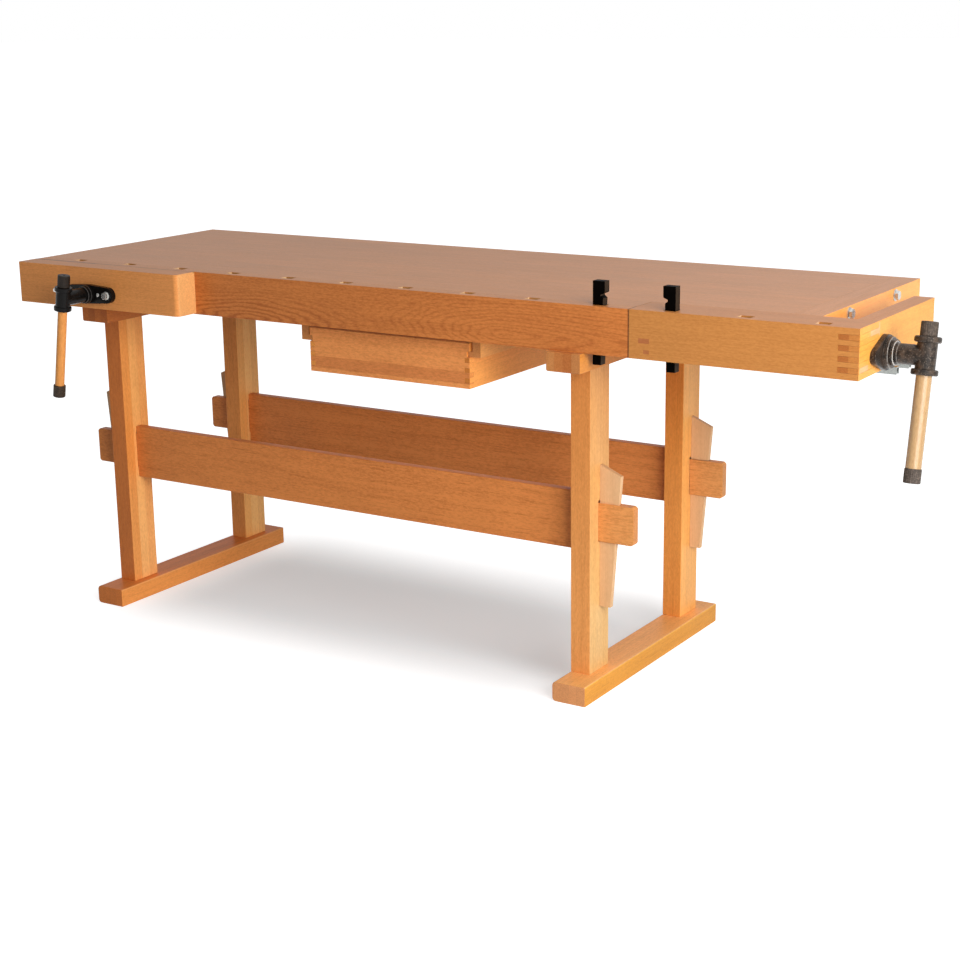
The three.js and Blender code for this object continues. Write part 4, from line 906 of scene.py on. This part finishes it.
# A cup over the end of the wood, ribbed along its side; its profile holds (radius, height, whether ribbed).
def cap(node, radius, tilt, outward, material):
    low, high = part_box(node)
    middle = (low + high) / 2
    mouth = middle - outward * tilt * (CAP_LENGTH / 2)
    axis = outward * tilt
    side = axis.orthogonal().normalized()
    other = axis.cross(side)
    bore = radius - CAP_WALL
    soft = CAP_WALL / 2
    profile = [
        (bore, 0.0, False),
        (radius - RIB_DEPTH, 0.0, False),
        (radius, CAP_LIP, False),
        (radius, 2 * CAP_LIP, True),
        (radius, CAP_LENGTH - soft - RIB_RUNOUT, True),
        (radius, CAP_LENGTH - soft, False),
        (radius - 0.3 * soft, CAP_LENGTH - 0.3 * soft, False),
        (radius - soft, CAP_LENGTH, False),
        (0.25 * radius, CAP_LENGTH - CAP_DIP / 2, False),
        (CAP_PORE, CAP_LENGTH - CAP_DIP, False),
        (CAP_PORE, CAP_LENGTH - CAP_END, False),
        (bore, CAP_LENGTH - CAP_END, False),
    ]
    rings = []
    around = RIBS * PER_RIB
    for r, height, ribbed in profile:
        ring = []
        for k in range(around):
            groove = RIB_DEPTH if ribbed and k % PER_RIB in GROOVE else 0.0
            turn = 2 * math.pi * k / around
            spoke = math.cos(turn) * side + math.sin(turn) * other
            ring.append(mouth + axis * height + spoke * (r - groove))
        rings.append(ring)
    name = node + "_ribbed"
    body = node.split("_")[0] + "_vise_handle"
    add_piece(name, ring_mesh(name, rings, True), material, body, "black_cap", node)


FRONT_LEAN = math.radians(8.7)
TAIL_LEAN = math.radians(11.8)
FRONT_CAP = 0.0145
TAIL_CAP = 0.0167
front_up = Vector((math.sin(FRONT_LEAN), 0.0, math.cos(FRONT_LEAN)))
tail_up = Vector((0.0, math.sin(TAIL_LEAN), math.cos(TAIL_LEAN)))
for vise, radius, tilt, upper, lower in (
    ("front", FRONT_CAP, front_up, (0.010, 0.0062, 0.0038), (0.028, 0.018, 0.011)),
    ("tail", TAIL_CAP, tail_up, (0.046, 0.034, 0.026), (0.053, 0.040, 0.032)),
):
    for place, outward, colour in (("upper", 1, upper), ("lower", -1, lower)):
        name = vise + "_handle_cap_" + place
        cap(name, radius, tilt, outward, cap_plastic(name, colour))


HEAD_SIDES = 24
HEAD_RADIUS = 0.0045
HEAD_HEIGHT = 0.0026
HEAD_PROFILE = ((1.0, 0.0), (1.0, 0.35), (0.86, 0.78), (0.62, 1.0), (0.0, 1.0), (0.0, 0.45))
HEAD_FROM_AXIS = 0.033
FLANGE_PLATE = 0.012
SOCKET = 0.46


# A domed screw head on the front flange; its profile holds shares of its radius, or 0 for the hexagon socket,
# and of its height.
def screw_head(name, place, radius, height):
    rings = []
    for share, rise in HEAD_PROFILE:
        ring = []
        for k in range(HEAD_SIDES):
            turn = 2 * math.pi * k / HEAD_SIDES
            hexagon = SOCKET * math.cos(math.pi / 6) / math.cos((turn % (math.pi / 3)) - math.pi / 6)
            r = radius * (share or hexagon)
            ring.append(place + Vector((r * math.cos(turn), -height * rise, r * math.sin(turn))))
        rings.append(ring)
    add_piece(name, ring_mesh(name, rings), zinc_steel, "front_vise_jaw", "zinc_steel")


flange_face = high_of("front_flange", "Y") - FLANGE_PLATE
head_place = Vector((flange_mid + HEAD_FROM_AXIS, flange_face, bolt_z))
screw_head("front_flange_screw", head_place, HEAD_RADIUS, HEAD_HEIGHT)

# Camera at the photograph's place
AZIMUTH = math.radians(32.58)
ELEVATION = math.radians(14.74)
ROLL = math.radians(-0.807)
STAND = Vector((2.2038, -3.42345, 1.4548))
LENS = 68.02
SENSOR = 36.0
SIGHT = 200.0
ahead = Vector(
    (
        -math.sin(AZIMUTH) * math.cos(ELEVATION),
        math.cos(AZIMUTH) * math.cos(ELEVATION),
        -math.sin(ELEVATION),
    )
)
level = Vector((math.cos(AZIMUTH), math.sin(AZIMUTH), 0.0))
upward = level.cross(ahead)
right = math.cos(ROLL) * level + math.sin(ROLL) * upward
up = -math.sin(ROLL) * level + math.cos(ROLL) * upward
lens = bpy.data.cameras.new("camera")
lens.sensor_width = SENSOR
lens.lens = LENS
lens.clip_end = SIGHT
camera = bpy.data.objects.new("camera", lens)
camera.matrix_world = Matrix(
    (
        (right.x, up.x, -ahead.x, STAND.x),
        (right.y, up.y, -ahead.y, STAND.y),
        (right.z, up.z, -ahead.z, STAND.z),
        (0.0, 0.0, 0.0, 1.0),
    )
)
bpy.context.scene.collection.objects.link(camera)
bpy.context.scene.camera = camera


# 1 where a ray from the camera, or seen in metal or through glass, meets the surface.
def seen_directly(tree):
    path = tree.nodes.new("ShaderNodeLightPath")
    seen = path.outputs["Is Camera Ray"]
    for other in ("Is Glossy Ray", "Is Transmission Ray"):
        either = tree.nodes.new("ShaderNodeMath")
        either.operation = "MAXIMUM"
        tree.links.new(seen, either.inputs[0])
        tree.links.new(path.outputs[other], either.inputs[1])
        seen = either.outputs[0]
    return seen


# Floor: pale, shown as white, less so between the feet, where the shadow lies
SHADOW_MIDDLE = (-0.27, 0.07)
SHADOW_HALF = (0.70, 0.36)
SHADOW_SOFT = 0.24
SHADOW_GLOW = 0.33
FLOOR = (0.575, 0.6, 0.612)
REACH = 60.0
floor_finish = Finish("floor")
ground = floor_finish.parts(floor_finish.place())
between = 1.0
for k in range(2):
    off = floor_finish.math("ABSOLUTE", floor_finish.math("SUBTRACT", ground[k], SHADOW_MIDDLE[k]))
    near = floor_finish.step(off, SHADOW_HALF[k] + SHADOW_SOFT, SHADOW_HALF[k] - SHADOW_SOFT)
    between = floor_finish.math("MULTIPLY", between, near)
glow = floor_finish.math("MULTIPLY_ADD", between, SHADOW_GLOW - 1.0, 1.0)
glow = floor_finish.math("MULTIPLY", seen_directly(floor_finish.tree), glow)
floor_finish.surface(
    Base_Color=FLOOR,
    Roughness=0.9,
    Specular_IOR_Level=0.1,
    Emission_Color=(1.0, 1.0, 1.0),
    Emission_Strength=glow,
)
floor_mesh = bpy.data.meshes.new("floor")
floor_mesh.from_pydata(
    [(-REACH, -REACH, 0.0), (REACH, -REACH, 0.0), (REACH, REACH, 0.0), (-REACH, REACH, 0.0)],
    [],
    [(0, 1, 2, 3)],
)
floor_mesh.materials.append(floor_finish.material)
floor = bpy.data.objects.new("floor", floor_mesh)
bpy.context.scene.collection.objects.link(floor)

# World: a weak white light, seen as full white, which metal and polish mirror a little dimmer toward the left
AMBIENT = 0.25
LEFT_DIM = 0.72
DIM_FROM = -0.56
DIM_TO = -0.30
world = bpy.data.worlds.new("studio")
bpy.context.scene.world = world
world.use_nodes = True
sky = world.node_tree.nodes["Background"]
sky.inputs["Color"].default_value = (1.0, 1.0, 1.0, 1.0)
toward = world.node_tree.nodes.new("ShaderNodeTexCoord")
sideways = world.node_tree.nodes.new("ShaderNodeSeparateXYZ")
mirrored = world.node_tree.nodes.new("ShaderNodeMapRange")
mirrored.interpolation_type = "SMOOTHSTEP"
for name, value in (("From Min", DIM_FROM), ("From Max", DIM_TO), ("To Min", LEFT_DIM), ("To Max", 1.0)):
    mirrored.inputs[name].default_value = value
white = world.node_tree.nodes.new("ShaderNodeLightPath")
shown = world.node_tree.nodes.new("ShaderNodeMath")
shown.operation = "MAXIMUM"
strength = world.node_tree.nodes.new("ShaderNodeMapRange")
strength.inputs["To Min"].default_value = AMBIENT
world.node_tree.links.new(toward.outputs["Generated"], sideways.inputs[0])
world.node_tree.links.new(sideways.outputs["X"], mirrored.inputs["Value"])
world.node_tree.links.new(mirrored.outputs[0], shown.inputs[0])
world.node_tree.links.new(white.outputs["Is Camera Ray"], shown.inputs[1])
world.node_tree.links.new(shown.outputs[0], strength.inputs["To Max"])
world.node_tree.links.new(seen_directly(world.node_tree), strength.inputs["Value"])
world.node_tree.links.new(strength.outputs[0], sky.inputs["Strength"])


def area_lamp(name, place, target, size, power, mirrored=True):
    data = bpy.data.lights.new(name, "AREA")
    data.shape = "RECTANGLE"
    data.size, data.size_y = size
    data.energy = power
    lamp = bpy.data.objects.new(name, data)
    lamp.location = place
    lamp.rotation_euler = (Vector(target) - Vector(place)).to_track_quat("-Z", "Y").to_euler()
    lamp.visible_glossy = mirrored
    bpy.context.scene.collection.objects.link(lamp)


# Lamps: the polished wood mirrors only the weaker of the two key lamps, so that the top doesn't glare from
# behind.
KEY_PLACE = (3.0, -1.8, 1.55)
SHINE_PLACE = (2.92, -1.752, 1.525)
KEY_AIM = (0.0, 0.0, 0.6)
KEY_SIZE = (2.4, 2.0)
KEY_POWER = 107.0
SHINE_POWER = 38.0
OVERHEAD_PLACE = (0.7, 0.0, 3.4)
OVERHEAD_AIM = (0.5, 0.0, 0.0)
OVERHEAD_SIZE = (2.6, 1.6)
OVERHEAD_POWER = 4.0
area_lamp("key", KEY_PLACE, KEY_AIM, KEY_SIZE, KEY_POWER, mirrored=False)
area_lamp("key_shine", SHINE_PLACE, KEY_AIM, KEY_SIZE, SHINE_POWER)
area_lamp("overhead", OVERHEAD_PLACE, OVERHEAD_AIM, OVERHEAD_SIZE, OVERHEAD_POWER)

bpy.context.scene.view_settings.view_transform = "Standard"
